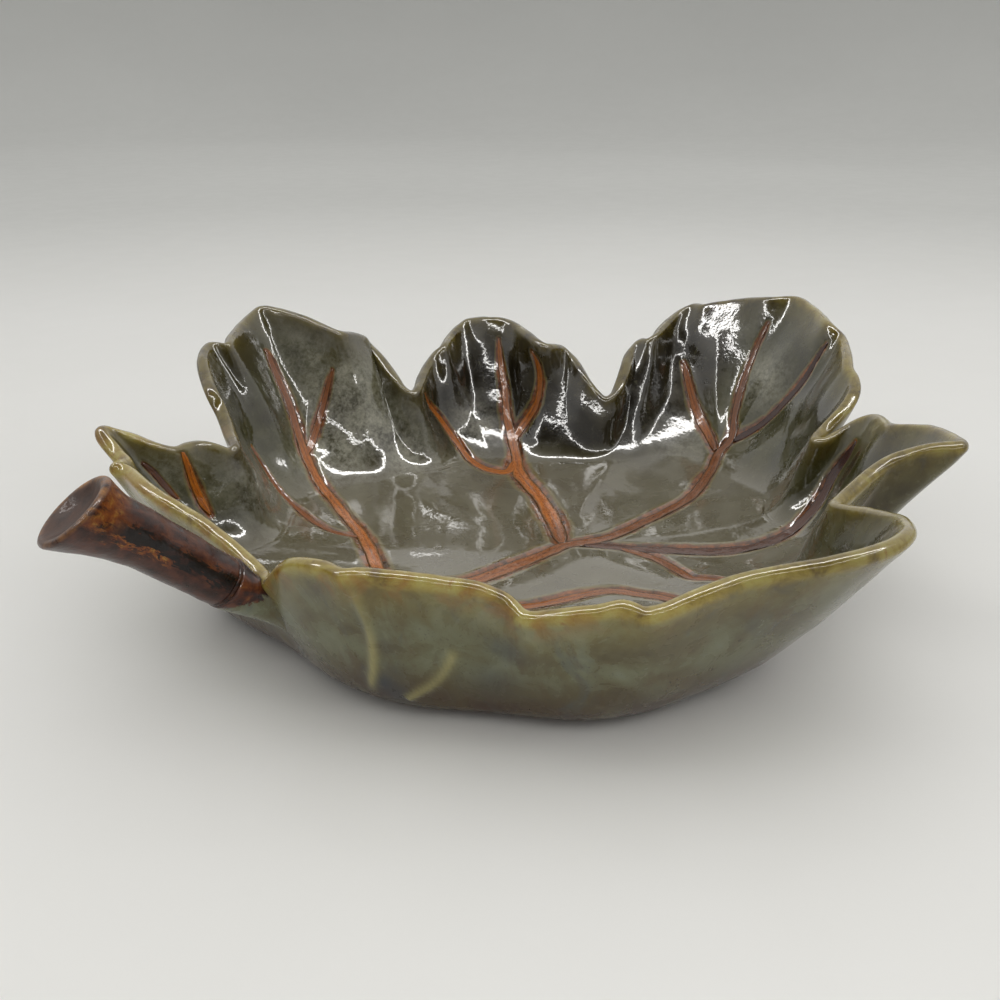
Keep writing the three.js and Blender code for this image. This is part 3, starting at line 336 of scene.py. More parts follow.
fine = catmull(RIM, np.arange(6000) / 6000.0, True)
arc = np.r_[0, np.cumsum(np.linalg.norm(np.roll(fine, -1, 0) - fine, axis=1))]
RIM_LENGTH = arc[-1]
loop = np.vstack([fine, fine[:1]])
R = np.stack([np.interp(np.arange(D) / D * RIM_LENGTH, arc, loop[:, k]) for k in range(3)], 1)


def along_rim(a, sigma):
    sg = sigma / RIM_LENGTH * D
    n = int(4 * sg) + 1
    w = np.exp(-0.5 * (np.arange(-n, n + 1) / sg) ** 2)
    w /= w.sum()
    b = np.vstack([a[-n:], a, a[:n]])
    return np.stack([np.convolve(b[:, j], w, "valid") for j in range(a.shape[1])], 1)


OUTWARD = unit(along_rim(R, 25.0)[:, :2])
HEADING = np.unwrap(np.arctan2(R[:, 1], R[:, 0]))
RUNS = np.interp(np.degrees(np.angle(np.exp(1j * HEADING))), [a for a, _ in WALL_RUN], [b for _, b in WALL_RUN])[:, None]
SOFT = along_rim(R[:, :2] - OUTWARD * (RUNS * (R[:, 2:] - FLOOR_MID)), 20.0)
TURN = 2 * np.pi * np.arange(D) / D
EVEN = along_rim((HEADING + TURN)[:, None], 26.0)[:, 0] - TURN
APART = np.degrees(np.abs(np.angle(np.exp(1j * (EVEN[:, None] - HEADING[None, :])))))
LIMIT = (np.linalg.norm(R[:, :2], axis=1)[None, :] + 2.0 * np.maximum(0, APART - 4.0)).min(1) - 15.0
RADIUS = along_rim(np.minimum(np.linalg.norm(SOFT, axis=1), LIMIT)[:, None], 10.0)[:, 0]
Q = np.stack([np.cos(EVEN), np.sin(EVEN)], 1) * RADIUS[:, None]
SPAN = math.sqrt(1 + ROUNDING ** 2) - ROUNDING


R_EVEN = np.array([R] + [along_rim(R, sigma) for sigma in RIM_EVENING[1:]])


def dish_floor(share):
    return DISH * np.maximum(0, (share - DISH_FLAT) / (1 - DISH_FLAT)) ** 2


def dish_wall(t):
    f = np.minimum(1, t / 0.55)
    slope = 2 * DISH / (1 - DISH_FLAT) * 0.36 * 0.55
    return DISH * (2 * f ** 3 - 3 * f ** 2 + 1) + slope * (f ** 3 - 2 * f ** 2 + f)


def middle_at(t):
    t3 = t[:, :, None]
    sigma = RIM_EVENING[-1] * (1 - t) ** 0.75                    # the bends of the rim die out down the wall
    k = np.clip(np.searchsorted(RIM_EVENING, sigma, side="right") - 1, 0, 3)
    steps = np.array(RIM_EVENING)
    f = ((sigma - steps[k]) / (steps[k + 1] - steps[k]))[:, :, None]
    col = np.broadcast_to(np.arange(D)[None], t.shape)
    r = R_EVEN[k, col] * (1 - f) + R_EVEN[k + 1, col] * f
    return np.concatenate([(1 - t3) * Q[None] + t3 * r[..., :2],
                           FLOOR_MID + (r[..., 2:] - FLOOR_MID) * (np.sqrt(t3 ** 2 + ROUNDING ** 2) - ROUNDING) / SPAN], 2)


def rise_at(t):
    a, b = np.maximum(0, t - 0.01), np.minimum(1, t + 0.01)
    return (middle_at(b) - middle_at(a)) / (b - a)[:, :, None]


def wall(t):
    """Middle surface of the wall, its facing and its upward direction for t of shape (rows, D)."""
    m, up = middle_at(t), rise_at(t)
    n = unit(np.cross(np.roll(m, -2, 1) - np.roll(m, 2, 1), up))
    n = unit(np.stack([along_rim(row, 5.0) for row in n]))
    return m, n, unit(up)


T_END = 1 - WALL_HALF / np.linalg.norm(rise_at(np.ones((1, D))), axis=2)[0]

NI, NF, NC, NO, NU = 62, 66, 9, 40, 9
t_in = np.linspace(0, 1, NI + 1)[:, None] * T_END[None]
m_in, n_in, u_in = wall(t_in)
half_in = (WALL_HALF + 0.15 * (1 - t_in))[:, :, None]
inner = m_in + n_in * half_in
inner[:, :, 2] += dish_wall(t_in)
inner[0, :, 2] = FLOOR_MID + FLOOR_HALF + DISH
rho = np.linspace(0.012, 1, NF + 1)[:-1]
floor = np.concatenate([Q[None] * rho[:, None, None], np.broadcast_to((FLOOR_MID + FLOOR_HALF + dish_floor(rho))[:, None, None], (NF, D, 1))], 2)
base_in = np.concatenate([floor, inner], 0)                      # rows from the middle of the floor to the rim
facing = np.cross(np.roll(base_in, -2, 1) - np.roll(base_in, 2, 1), np.gradient(base_in, axis=0))
facing *= np.sign((facing * np.concatenate([np.broadcast_to([0.0, 0.0, 1.0], floor.shape), n_in], 0)).sum(2, keepdims=True))
norm_in = unit(np.stack([along_rim(row, 4.0) for row in unit(facing)]))
tt_in = np.concatenate([np.zeros((NF, D)), np.broadcast_to(np.linspace(0, 1, NI + 1)[:, None], (NI + 1, D))], 0)

# ------------------------------------------------------------------ veins laid on the inside
rows_in = base_in.shape[0]
grid_faces = [(r * D + c, r * D + (c + 1) % D, (r + 1) * D + (c + 1) % D, (r + 1) * D + c)
              for r in range(rows_in - 1) for c in range(D)]
flat_in = base_in.reshape(-1, 3)
flat_n = norm_in.reshape(-1, 3)
flat_t = tt_in.reshape(-1)
tree = BVHTree.FromPolygons([Vector(p) for p in flat_in], grid_faces)


def lay(points):
    """Nearest points on the plain inside, the facing there and the place up the wall."""
    out_p, out_n, out_t = [], [], []
    for p in points:
        hit, _, face, _ = tree.find_nearest(Vector(p))
        corners = list(grid_faces[face])
        c = flat_in[corners]
        w = 1 / (np.linalg.norm(c - np.array(hit), axis=1) + 0.05)
        w /= w.sum()
        out_p.append(hit[:])
        out_n.append(w @ flat_n[corners])
        out_t.append(w @ flat_t[corners])
    return np.array(out_p), unit(np.array(out_n)), np.array(out_t)


STROKES = {}
for name, table in VEINS.items():
    pts = np.array(table, float)
    length = np.linalg.norm(np.diff(pts[:, :3], axis=0), axis=1).sum()
    n = max(12, int(round(length / 0.9)))
    dense = catmull(pts, np.linspace(0, 1, 8 * n + 1), False)
    s = np.r_[0, np.cumsum(np.linalg.norm(np.diff(dense[:, :3], axis=0), axis=1))]
    even = np.stack([np.interp(np.linspace(0, s[-1], n + 1), s, dense[:, k]) for k in range(4)], 1)
    even[:, :3] = np.stack([np.convolve(np.pad(even[:, k], 3, mode="reflect", reflect_type="odd"), np.ones(7) / 7, "valid") for k in range(3)], 1)
    p, nn, t = lay(even[:, :3])
    for _ in range(6):
        nn = unit(nn * 2 + np.vstack([nn[:1], nn[:-1]]) + np.vstack([nn[1:], nn[-1:]]))
    STROKES[name] = {"p": p, "n": nn, "t": t, "w": even[:, 3], "s": np.linspace(0, s[-1], n + 1)}
VEIN_P = np.vstack([v["p"] for v in STROKES.values()])
VEIN_N = np.vstack([v["n"] for v in STROKES.values()])
VEIN_W = np.concatenate([v["w"] for v in STROKES.values()])
VEIN_NAME = np.concatenate([[k] * len(v["p"]) for k, v in STROKES.items()])
VEIN_SWELL = 0.5 + 2.6 * step(12.0, 26.0, VEIN_P[:, 2])           # how much the leaf swells beside each vein


def nearest_vein(p):
    """Distance to the nearest stroke, the same in half-widths of the stroke, and the swell there."""
    d_out, q_out, b_out = np.empty(len(p)), np.empty(len(p)), np.empty(len(p))
    v2 = (VEIN_P ** 2).sum(1)
    for a in range(0, len(p), 4000):
        x = p[a:a + 4000]
        d2 = np.maximum((x ** 2).sum(1)[:, None] + v2[None] - 2 * x @ VEIN_P.T, 0)
        d_out[a:a + 4000] = np.sqrt(d2.min(1))
        q_out[a:a + 4000] = np.sqrt((d2 / (0.25 * VEIN_W ** 2)[None]).min(1))
        w = 1 / (d2 + 9.0) ** 2
        b_out[a:a + 4000] = (w * VEIN_SWELL[None]).sum(1) / w.sum(1)
    return d_out, q_out, b_out


# Shallow pools in the glaze of the floor: middle, two half sizes and the direction of the first, depth.
VIEW, CROSS = np.array([0.673, 0.740]), np.array([0.740, -0.673])
POOLS = [((57.0, 9.5), 9.0, 7.0, CROSS, 0.4), ((70.0, -9.0), 12.0, 8.0, CROSS, 0.5)]


def swell(p, t, d, b):
    """Height of the inside above the plain shape, without the grooves of the veins."""
    pillow = b * (1 - np.exp(-(d / 9.5) ** 2)) - 0.5 * b
    lumps = (0.34 * noise(p, 19.0, 3) + 0.10 * noise(p, 8.0, 5) + 0.02 * noise(p, 3.4, 7)) * (0.35 + 0.65 * step(11.0, 17.0, p[:, 2]))
    for (x, y), long, short, way, depth in POOLS:
        off = p[:, :2] - (x, y)
        a, c = off @ way, off @ np.array([-way[1], way[0]])
        a = a + 0.25 * long * noise(p, 9.0, 17)
        lumps = lumps - depth * np.exp(-(a / long) ** 2 - (c / short) ** 2) * step(18.0, 12.0, p[:, 2])
    return (pillow + lumps) * (1 - step(0.74, 1.0, t))


d_in, q_in, b_in = nearest_vein(flat_in)
h_in = swell(flat_in, flat_t, d_in, b_in)
h_in += -0.85 * np.exp(-(q_in / 1.03) ** 4) + 0.10 * np.exp(-((q_in - 1.5) / 0.3) ** 2) * (1 - step(0.9, 1.0, flat_t))
shaped_in = (flat_in + flat_n * h_in[:, None]).reshape(rows_in, D, 3)

# ------------------------------------------------------------------ rim, outside and underside
phi = np.linspace(0, np.pi, NC + 2)[1:-1]
m_end, n_end, u_end = m_in[-1], n_in[-1], u_in[-1]
bead = 1 + 0.10 * noise(R, 9.0, 11) + 0.05 * noise(R, 3.5, 12)
cap = m_end[None] + (n_end[None] * np.cos(phi)[:, None, None] + u_end[None] * np.sin(phi)[:, None, None] * bead[None, :, None]) * WALL_HALF
t_out = np.linspace(1, 0, NO + 1)[:, None] * T_END[None]
m_out, n_out, _ = wall(t_out)
outer = m_out - n_out * (WALL_HALF + 0.15 * (1 - t_out))[:, :, None]
outer[-1, :, 2] = FLOOR_MID - FLOOR_HALF
n_out[-1] = (0, 0, 1)
flat_out = outer.reshape(-1, 3)
norm_out = n_out.reshape(-1, 3)
tt_out = np.broadcast_to(np.linspace(1, 0, NO + 1)[:, None], (NO + 1, D)).reshape(-1)


def to_line(p, line, step_mm=0.7):
    q = np.array(line, float)
    n = max(2, int(np.linalg.norm(np.diff(q, axis=0), axis=1).sum() / step_mm))
    c = catmull(q, np.linspace(0, 1, n), False)
    d = np.sqrt(np.maximum(((p[:, None, :] - c[None]) ** 2).sum(2), 0))
    k = d.argmin(1)
    return d[np.arange(len(p)), k], k / (n - 1)


ridge = np.zeros(len(flat_out))
for line in RIDGES:
    d, k = to_line(flat_out, line)
    ridge = np.maximum(ridge, np.exp(-(d / 1.25) ** 2) * step(0, 0.12, k) * step(1.0, 0.85, k))
keep = (VEIN_P[:, 2] > 13) & ~np.isin(VEIN_NAME, ["vein_g", "vein_g_outer", "vein_f_trunk", "vein_f_short"])
back = (VEIN_P - VEIN_N * 4.6)[keep]
faint = np.zeros(len(flat_out))
for a in range(0, len(flat_out), 4000):
    x = flat_out[a:a + 4000]
    faint[a:a + 4000] = np.exp(-((((x[:, None] - back[None]) ** 2).sum(2)).min(1)) / 2.3 ** 2)
h_out = 1.05 * ridge + 0.5 * faint * (1 - ridge) + 0.30 * noise(flat_out, 21.0, 21) + 0.11 * noise(flat_out, 8.0, 22)
h_out *= (1 - step(0.93, 1.0, tt_out)) * step(0.0, 0.12, tt_out)
shaped_out = (flat_out - norm_out * h_out[:, None]).reshape(NO + 1, D, 3)
rho_u = np.linspace(1, 0.012, NU + 1)[1:]
under = np.concatenate([Q[None] * rho_u[:, None, None], np.full((NU, D, 1), FLOOR_MID - FLOOR_HALF)], 2)

# ------------------------------------------------------------------ root under the stem, part of the bowl
SIDE = np.array([0.0, 1.0, 0.0])
OVER = np.cross(SIDE, STEM_DIR)
out_faces = [(r * D + c, r * D + (c + 1) % D, (r + 1) * D + (c + 1) % D, (r + 1) * D + c) for r in range(NO) for c in range(D)]
out_tree = BVHTree.FromPolygons([Vector(p) for p in shaped_out.reshape(-1, 3)], out_faces)
NB, NBR = 72, 22
root_rows = []
ang = 2 * np.pi * np.arange(NB) / NB
ring_dir = np.cos(ang)[:, None] * SIDE + np.sin(ang)[:, None] * OVER
p0 = STEM_JOINT + 7.1 * ring_dir
low = np.maximum(0, -np.sin(ang))
high = np.maximum(0, np.sin(ang))
reach = 7.1 + 2.4 * np.cos(ang) ** 2 - 1.5 * low - 0.9 * high
land = []
for k in range(NB):
    o = STEM_JOINT + reach[k] * ring_dir[k] + STEM_DIR * 2
    hit, nor, _, dist = out_tree.ray_cast(Vector(o), Vector(-STEM_DIR), 70.0)
    land.append(np.array(hit if hit is not None else o - STEM_DIR * 9.0))
land = np.array(land)
for _ in range(4):
    land = (land * 2 + np.roll(land, 1, 0) + np.roll(land, -1, 0)) / 4
span = np.linalg.norm(land - p0, axis=1)[:, None]
for r in range(NBR + 1):
    f = r / NBR
    h00, h10, h01, h11 = 2 * f ** 3 - 3 * f ** 2 + 1, f ** 3 - 2 * f ** 2 + f, -2 * f ** 3 + 3 * f ** 2, f ** 3 - f ** 2
    root_rows.append(h00 * p0 + h10 * (-STEM_DIR * span * 0.8) + h01 * (land + STEM_DIR * -1.6) + h11 * ((-STEM_DIR + 0.5 * ring_dir) * span * 0.8))
root_rows = np.array(root_rows)

# ------------------------------------------------------------------ mesh building
def make(name, verts, faces, attrs, material, node, slot):
    me = bpy.data.meshes.new(name)
    me.from_pydata([tuple(v) for v in to_m(verts)], [], [tuple(f) for f in faces])
    for key, values in attrs.items():
        a = me.attributes.new(key, "FLOAT", "POINT")
        a.data.foreach_set("value", np.asarray(values, np.float32))
    me.polygons.foreach_set("use_smooth", np.ones(len(me.polygons), bool))
    me.materials.append(material)
    me.update()
    ob = bpy.data.objects.new(name, me)
    bpy.context.scene.collection.objects.link(ob)
    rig.ride(ob, "root")
    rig.replaces(ob, node)
    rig.slot(ob, slot)
    return ob


def ring_faces(rows, n, start=0, flip=False):
    out = []
    for r in range(rows - 1):
        for c in range(n):
            a, b = start + r * n + c, start + r * n + (c + 1) % n
            f = (a, b, b + n, a + n)
            out.append(f[::-1] if flip else f)
    return out


# ------------------------------------------------------------------ materials
def srgb(h):
    v = [int(h[i:i + 2], 16) / 255 for i in (0, 2, 4)]
    return tuple(x / 12.92 if x <= 0.04045 else ((x + 0.055) / 1.055) ** 2.4 for x in v) + (1.0,)


class Nodes:
    def __init__(self, name):
        self.mat = bpy.data.materials.new(name)
        self.mat.use_nodes = True
        self.t = self.mat.node_tree
        self.t.nodes.clear()
        self.out = self.t.nodes.new("ShaderNodeOutputMaterial")
        self.bsdf = self.t.nodes.new("ShaderNodeBsdfPrincipled")
        self.t.links.new(self.bsdf.outputs[0], self.out.inputs[0])
        self.coord = self.t.nodes.new("ShaderNodeTexCoord").outputs["Object"]

    def put(self, socket, value):
        if hasattr(value, "links") or isinstance(value, bpy.types.NodeSocket):
            self.t.links.new(value, socket)
        else:
            socket.default_value = value

    def attr(self, name):
        n = self.t.nodes.new("ShaderNodeAttribute")
        n.attribute_name = name
        return n.outputs["Fac"]

    def noise(self, scale, detail=3.0, rough=0.55, twist=0.0, vector=None):
        n = self.t.nodes.new("ShaderNodeTexNoise")
        self.put(n.inputs["Vector"], self.coord if vector is None else vector)
        n.inputs["Scale"].default_value = scale
        n.inputs["Detail"].default_value = detail
        n.inputs["Roughness"].default_value = rough
        n.inputs["Distortion"].default_value = twist
        return n.outputs["Fac"]

    def math(self, op, a, b=0.0, clamp=False):
        n = self.t.nodes.new("ShaderNodeMath")
        n.operation = op
        n.use_clamp = clamp
        self.put(n.inputs[0], a)
        self.put(n.inputs[1], b)
        return n.outputs[0]

    def span(self, v, a, b, c=0.0, d=1.0):
        n = self.t.nodes.new("ShaderNodeMapRange")
        n.interpolation_type = "SMOOTHSTEP"
        self.put(n.inputs["Value"], v)
        for k, x in zip(("From Min", "From Max", "To Min", "To Max"), (a, b, c, d)):
            n.inputs[k].default_value = x
        return n.outputs["Result"]

    def mix(self, fac, a, b, blend="MIX"):
        n = self.t.nodes.new("ShaderNodeMix")
        n.data_type = "RGBA"
        n.blend_type = blend
        self.put(n.inputs["Factor"], fac)
        self.put([s for s in n.inputs if s.name == "A" and s.type == "RGBA"][0], a)
        self.put([s for s in n.inputs if s.name == "B" and s.type == "RGBA"][0], b)
        return [s for s in n.outputs if s.type == "RGBA"][0]

    def ramp(self, fac, stops):
        n = self.t.nodes.new("ShaderNodeValToRGB")
        e = n.color_ramp.elements
        while len(e) < len(stops):
            e.new(0.5)
        for x, (pos, col) in zip(e, stops):
            x.position = pos
            x.color = srgb(col) if isinstance(col, str) else col
        self.put(n.inputs["Fac"], fac)
        return n.outputs["Color"]

    def bump(self, height, strength, distance, normal=None):
        n = self.t.nodes.new("ShaderNodeBump")
        n.inputs["Strength"].default_value = strength
        n.inputs["Distance"].default_value = distance
        self.put(n.inputs["Height"], height)
        if normal is not None:
            self.t.links.new(normal, n.inputs["Normal"])
        return n.outputs["Normal"]

    def axis(self, k):
        n = self.t.nodes.new("ShaderNodeSeparateXYZ")
        self.t.links.new(self.coord, n.inputs[0])
        return n.outputs[k]

    def combine(self, x, y, z):
        n = self.t.nodes.new("ShaderNodeCombineXYZ")
        for s, v in zip(n.inputs, (x, y, z)):
            self.put(s, v)
        return n.outputs[0]

    def finish(self, color, rough, normal=None, coat=1.0, coat_rough=0.03, ior=1.5, spec=0.5):
        b = self.bsdf.inputs
        b["Specular IOR Level"].default_value = spec
        self.put(b["Base Color"], color)
        self.put(b["Roughness"], rough)
        b["IOR"].default_value = ior
        b["Coat Weight"].default_value = coat
        b["Coat Roughness"].default_value = coat_rough
        b["Coat IOR"].default_value = 1.5
        if normal is not None:
            self.t.links.new(normal, b["Normal"])
            self.t.links.new(normal, b["Coat Normal"])
        return self.mat


def glaze_material():
    g = Nodes("green_glaze")
    inner, crest, vein, ridge, haze, root, shade, painted_dark_reflection = g.attr("inner"), g.attr("crest"), g.attr("vq"), g.attr("ridge"), g.attr("haze"), g.attr("root"), g.attr("shade"), g.attr("painted_dark_reflection")
    x, z = g.axis(0), g.axis(2)
    broad, middle, small, speck = g.noise(28, 3, 0.6, 0.6), g.noise(85, 4, 0.6, 0.4), g.noise(320, 3, 0.6), g.noise(1500, 2, 0.5)
    grain = g.noise(520, 4, 0.7, 0.3)
    blotch = g.math("ADD", g.math("MULTIPLY", broad, 0.6), g.math("MULTIPLY", middle, 0.4))
    inside = g.ramp(blotch, [(0.32, "231f08"), (0.43, "302c0f"), (0.52, "3a3817"), (0.61, "474422"), (0.74, "515030")])
    # the floor is painted paler and browner than the walls, a painted sheen standing in for the grey reflection the
    # floor takes
    floor = g.math("MULTIPLY", inner, g.span(z, 0.024, 0.011))
    inside = g.mix(g.math("MULTIPLY", floor, 0.80), inside, g.ramp(blotch, [(0.34, "5a5139"), (0.5, "665f48"), (0.66, "706a55")]))
    # painted dark reflection: darker and browner on the inner walls of the lobes across from the stem, standing in for
    # the dark overhead opening that they mirror
    inside = g.mix(g.math("MULTIPLY", painted_dark_reflection, 0.92), inside, g.ramp(blotch, [(0.34, "0f0a03"), (0.46, "171106"), (0.56, "221b0a"), (0.70, "342a12")]))
    # milky, grainy patches where the glaze lies thick
    milk = g.math("MULTIPLY", haze, g.span(g.math("ADD", g.math("MULTIPLY", grain, 0.6), g.math("MULTIPLY", middle, 0.4)), 0.30, 0.74))
    inside = g.mix(g.math("MULTIPLY", milk, 0.85), inside, srgb("bcbaa8"))
    green = g.ramp(blotch, [(0.36, "4e4529"), (0.44, "5f593c"), (0.50, "6b6b50"), (0.56, "75775f"), (0.65, "7c8271")])
    olive = g.ramp(blotch, [(0.36, "332b13"), (0.44, "474023"), (0.50, "555135"), (0.56, "5d5a41"), (0.65, "656654")])
    outside = g.mix(g.span(g.math("ADD", x, g.math("MULTIPLY", g.math("SUBTRACT", broad, 0.5), 0.06)), -0.045, 0.005), green, olive)
    # red-brown clay shows through low on the outside; the colour is also darkened there as painted shade on the lower
    # belly
    low = g.math("MULTIPLY", g.span(z, 0.023, 0.005), g.span(middle, 0.28, 0.60, 0.45, 1.0))
    outside = g.mix(g.math("MULTIPLY", low, 0.92), outside, srgb("432c1e"))
    # brown and blue-grey patches, drawn downward as the glaze ran
    run = g.combine(g.math("MULTIPLY", x, 75.0), g.math("MULTIPLY", g.axis(1), 75.0), g.math("MULTIPLY", z, 26.0))
    outside = g.mix(g.math("MULTIPLY", g.span(g.noise(1.0, 5, 0.68, 0.7, run), 0.50, 0.66), 0.60), outside, srgb("534123"))
    outside = g.mix(g.math("MULTIPLY", g.span(g.noise(0.8, 4, 0.62, 0.9, g.combine(g.math("MULTIPLY", x, 90.0), g.math("MULTIPLY", z, 30.0), g.math("MULTIPLY", g.axis(1), 90.0))), 0.55, 0.68), 0.55), outside, srgb("505551"))
    # painted shade: dark blue-grey beside and between the raised ridges and down the seam between two lobes
    outside = g.mix(g.math("MULTIPLY", shade, 0.85), outside, srgb("3b4046"))
    outside = g.mix(g.span(x, 0.02, 0.11, 0.0, 0.40), outside, g.ramp(blotch, [(0.40, "2e2712"), (0.60, "454028")]))
    color = g.mix(inner, outside, inside)
    # fine speckle in the glaze
    color = g.mix(g.math("MULTIPLY", g.span(speck, 0.60, 0.72), 0.35), color, srgb("2a2418"))
    color = g.mix(g.math("MULTIPLY", g.span(small, 0.58, 0.78), 0.20), color, srgb("8f8d70"))
    # rust stain beside the veins, and a thin yellowish line along it
    wob = g.math("ADD", vein, g.math("MULTIPLY", g.math("SUBTRACT", middle, 0.5), 0.34))
    stain = g.math("MULTIPLY", g.span(wob, 0.33, 0.16), inner)
    color = g.mix(g.math("MULTIPLY", stain, 0.85), color, g.ramp(small, [(0.35, "442516"), (0.52, "824720"), (0.68, "a5622d")]))
    edge = g.math("MULTIPLY", g.math("MULTIPLY", g.span(wob, 0.22, 0.27), g.span(wob, 0.36, 0.29)), inner)
    color = g.mix(g.math("MULTIPLY", edge, 0.40), color, srgb("857a45"))
    # the glaze breaks olive over the rim: a narrow line inside, a broader fading band outside
    uneven = g.math("ADD", crest, g.math("MULTIPLY", g.math("SUBTRACT", middle, 0.5), 0.14))
    band = g.math("ADD", g.math("MULTIPLY", g.span(uneven, 0.20, 0.07), 0.62), g.math("MULTIPLY", g.span(uneven, 0.62, 0.06), 0.32), True)
    warm = g.math("MULTIPLY", g.math("MULTIPLY", g.span(crest, 0.42, 0.05), g.span(x, -0.045, -0.075)), g.span(g.noise(95, 4, 0.65, 0.6), 0.44, 0.60))
    rimcol = g.ramp(g.noise(120, 4, 0.65, 0.5), [(0.32, "4e3d13"), (0.42, "6e5e20"), (0.52, "847332"), (0.62, "8f8441"), (0.74, "7c5722")])
    # painted light: a paler rim on the near side by the stem, where the rim faces the bright overhead
    pale = g.ramp(g.noise(120, 4, 0.65, 0.5), [(0.32, "6a5520"), (0.42, "8a7630"), (0.52, "a08e44"), (0.62, "a89c56"), (0.74, "8e6a30")])
    rimcol = g.mix(g.span(x, -0.01, -0.06), rimcol, pale)
    # painted shade: browner and darker along the lobes across from the near side, on the rim and the upper inside,
    # standing in for the dark reflection there
    across = g.math("MULTIPLY", g.span(g.axis(1), -0.006, 0.018), g.span(x, -0.096, -0.080))
    rimcol = g.mix(g.math("MULTIPLY", across, 0.80), rimcol, g.ramp(g.noise(120, 4, 0.65, 0.5), [(0.32, "32280a"), (0.42, "443912"), (0.52, "564a1a"), (0.62, "615624"), (0.74, "503710")]))
    # painted shade: the upper inside of the far lobes darkened nearly to black toward the rim
    upper = g.math("MULTIPLY", g.math("MULTIPLY", inner, across), g.span(uneven, 0.60, 0.15))
    color = g.mix(g.math("MULTIPLY", upper, 0.55), color, g.ramp(blotch, [(0.40, "141005"), (0.60, "2a260f")]))
    color = g.mix(band, color, rimcol)
    color = g.mix(g.math("MULTIPLY", warm, g.math("SUBTRACT", 0.48, g.math("MULTIPLY", inner, 0.48))), color, srgb("8e5a24"))
    color = g.mix(g.math("MULTIPLY", ridge, 0.85), color, srgb("aaa26c"))
    # brown stain runs from the stem onto the root
    ragged = g.span(g.math("ADD", root, g.math("MULTIPLY", g.math("SUBTRACT", g.noise(240, 4, 0.7, 0.8), 0.5), 0.9)), 0.42, 0.52)
    color = g.mix(ragged, color, g.ramp(g.noise(150, 4, 0.65, 0.9), [(0.34, "140d0a"), (0.46, "3a1c14"), (0.56, "62341e"), (0.68, "8a5526")]))
    rough = g.math("ADD", g.span(middle, 0.35, 0.7, 0.20, 0.38), g.math("MULTIPLY", milk, 0.25))
    peel = g.math("ADD", g.noise(260, 2, 0.5), g.math("MULTIPLY", g.noise(820, 2, 0.5), 0.45))
    mat = g.finish(color, rough, g.bump(g.math("MULTIPLY", peel, g.math("SUBTRACT", g.span(inner, 0.0, 1.0, 0.45, 1.0), g.math("MULTIPLY", floor, 0.55))), 0.15, 0.0006), coat=1.0, coat_rough=0.02, ior=1.5, spec=0.2)
    g.put(g.bsdf.inputs["Coat Weight"], g.span(inner, 0.0, 1.0, 0.5, 1.0))
    return mat


def slip_fill_material():
    g = Nodes("rust_slip")
    along, across, dark, seed = g.attr("along"), g.attr("across"), g.attr("dark"), g.attr("seed")
    v = g.combine(g.math("MULTIPLY", along, 6.0), g.math("MULTIPLY", across, 2.2), seed)
    streaks = g.noise(3.0, 4, 0.65, 0.5, v)
    fine = g.noise(12.0, 3, 0.65, 0.3, v)
    color = g.ramp(g.math("ADD", g.math("MULTIPLY", streaks, 0.6), g.math("MULTIPLY", fine, 0.4)),
                   [(0.28, "411e09"), (0.38, "884510"), (0.48, "b46214"), (0.60, "c5751b"), (0.72, "c9882e"), (0.84, "93732f")])
    # thin dark lines drawn along the stroke
    w = g.combine(g.math("MULTIPLY", along, 1.6), g.math("MULTIPLY", across, 5.0), seed)
    threads = g.span(g.noise(1.6, 3, 0.6, 0.6, w), 0.54, 0.62)
    color = g.mix(g.math("MULTIPLY", threads, 0.50), color, srgb("2b150e"))
    line = g.span(g.math("ABSOLUTE", g.math("ADD", across, g.math("MULTIPLY", g.math("SUBTRACT", streaks, 0.5), 1.6))), 0.20, 0.05)
    color = g.mix(g.math("MULTIPLY", line, 0.40), color, srgb("331a12"))
    edge = g.span(g.math("ADD", g.math("ABSOLUTE", across), g.math("MULTIPLY", g.math("SUBTRACT", fine, 0.5), 0.5)), 0.50, 0.98)
    color = g.mix(g.math("MULTIPLY", edge, 0.85), color, g.ramp(fine, [(0.35, "3f3018"), (0.65, "6a5630")]))
    # browner along the midrib and toward the tip of the leaf
    tip = g.span(g.axis(1), 0.020, 0.009)
    color = g.mix(g.math("MULTIPLY", tip, g.span(g.axis(0), -0.05, 0.06, 0.22, 0.55)), color, g.ramp(fine, [(0.35, "1c110b"), (0.65, "38261b")]))
    shade = g.ramp(fine, [(0.35, "1e1312"), (0.55, "3c2522"), (0.72, "5a3328")])
    color = g.mix(g.math("MULTIPLY", dark, g.span(streaks, 0.30, 0.55, 0.6, 1.0)), color, shade)
    peel = g.math("ADD", g.noise(300, 2, 0.5), g.math("MULTIPLY", g.noise(800, 2, 0.5), 0.4))
    return g.finish(color, g.span(streaks, 0.3, 0.7, 0.22, 0.40), g.bump(peel, 0.18, 0.0006), coat=0.45, coat_rough=0.06, spec=0.2)


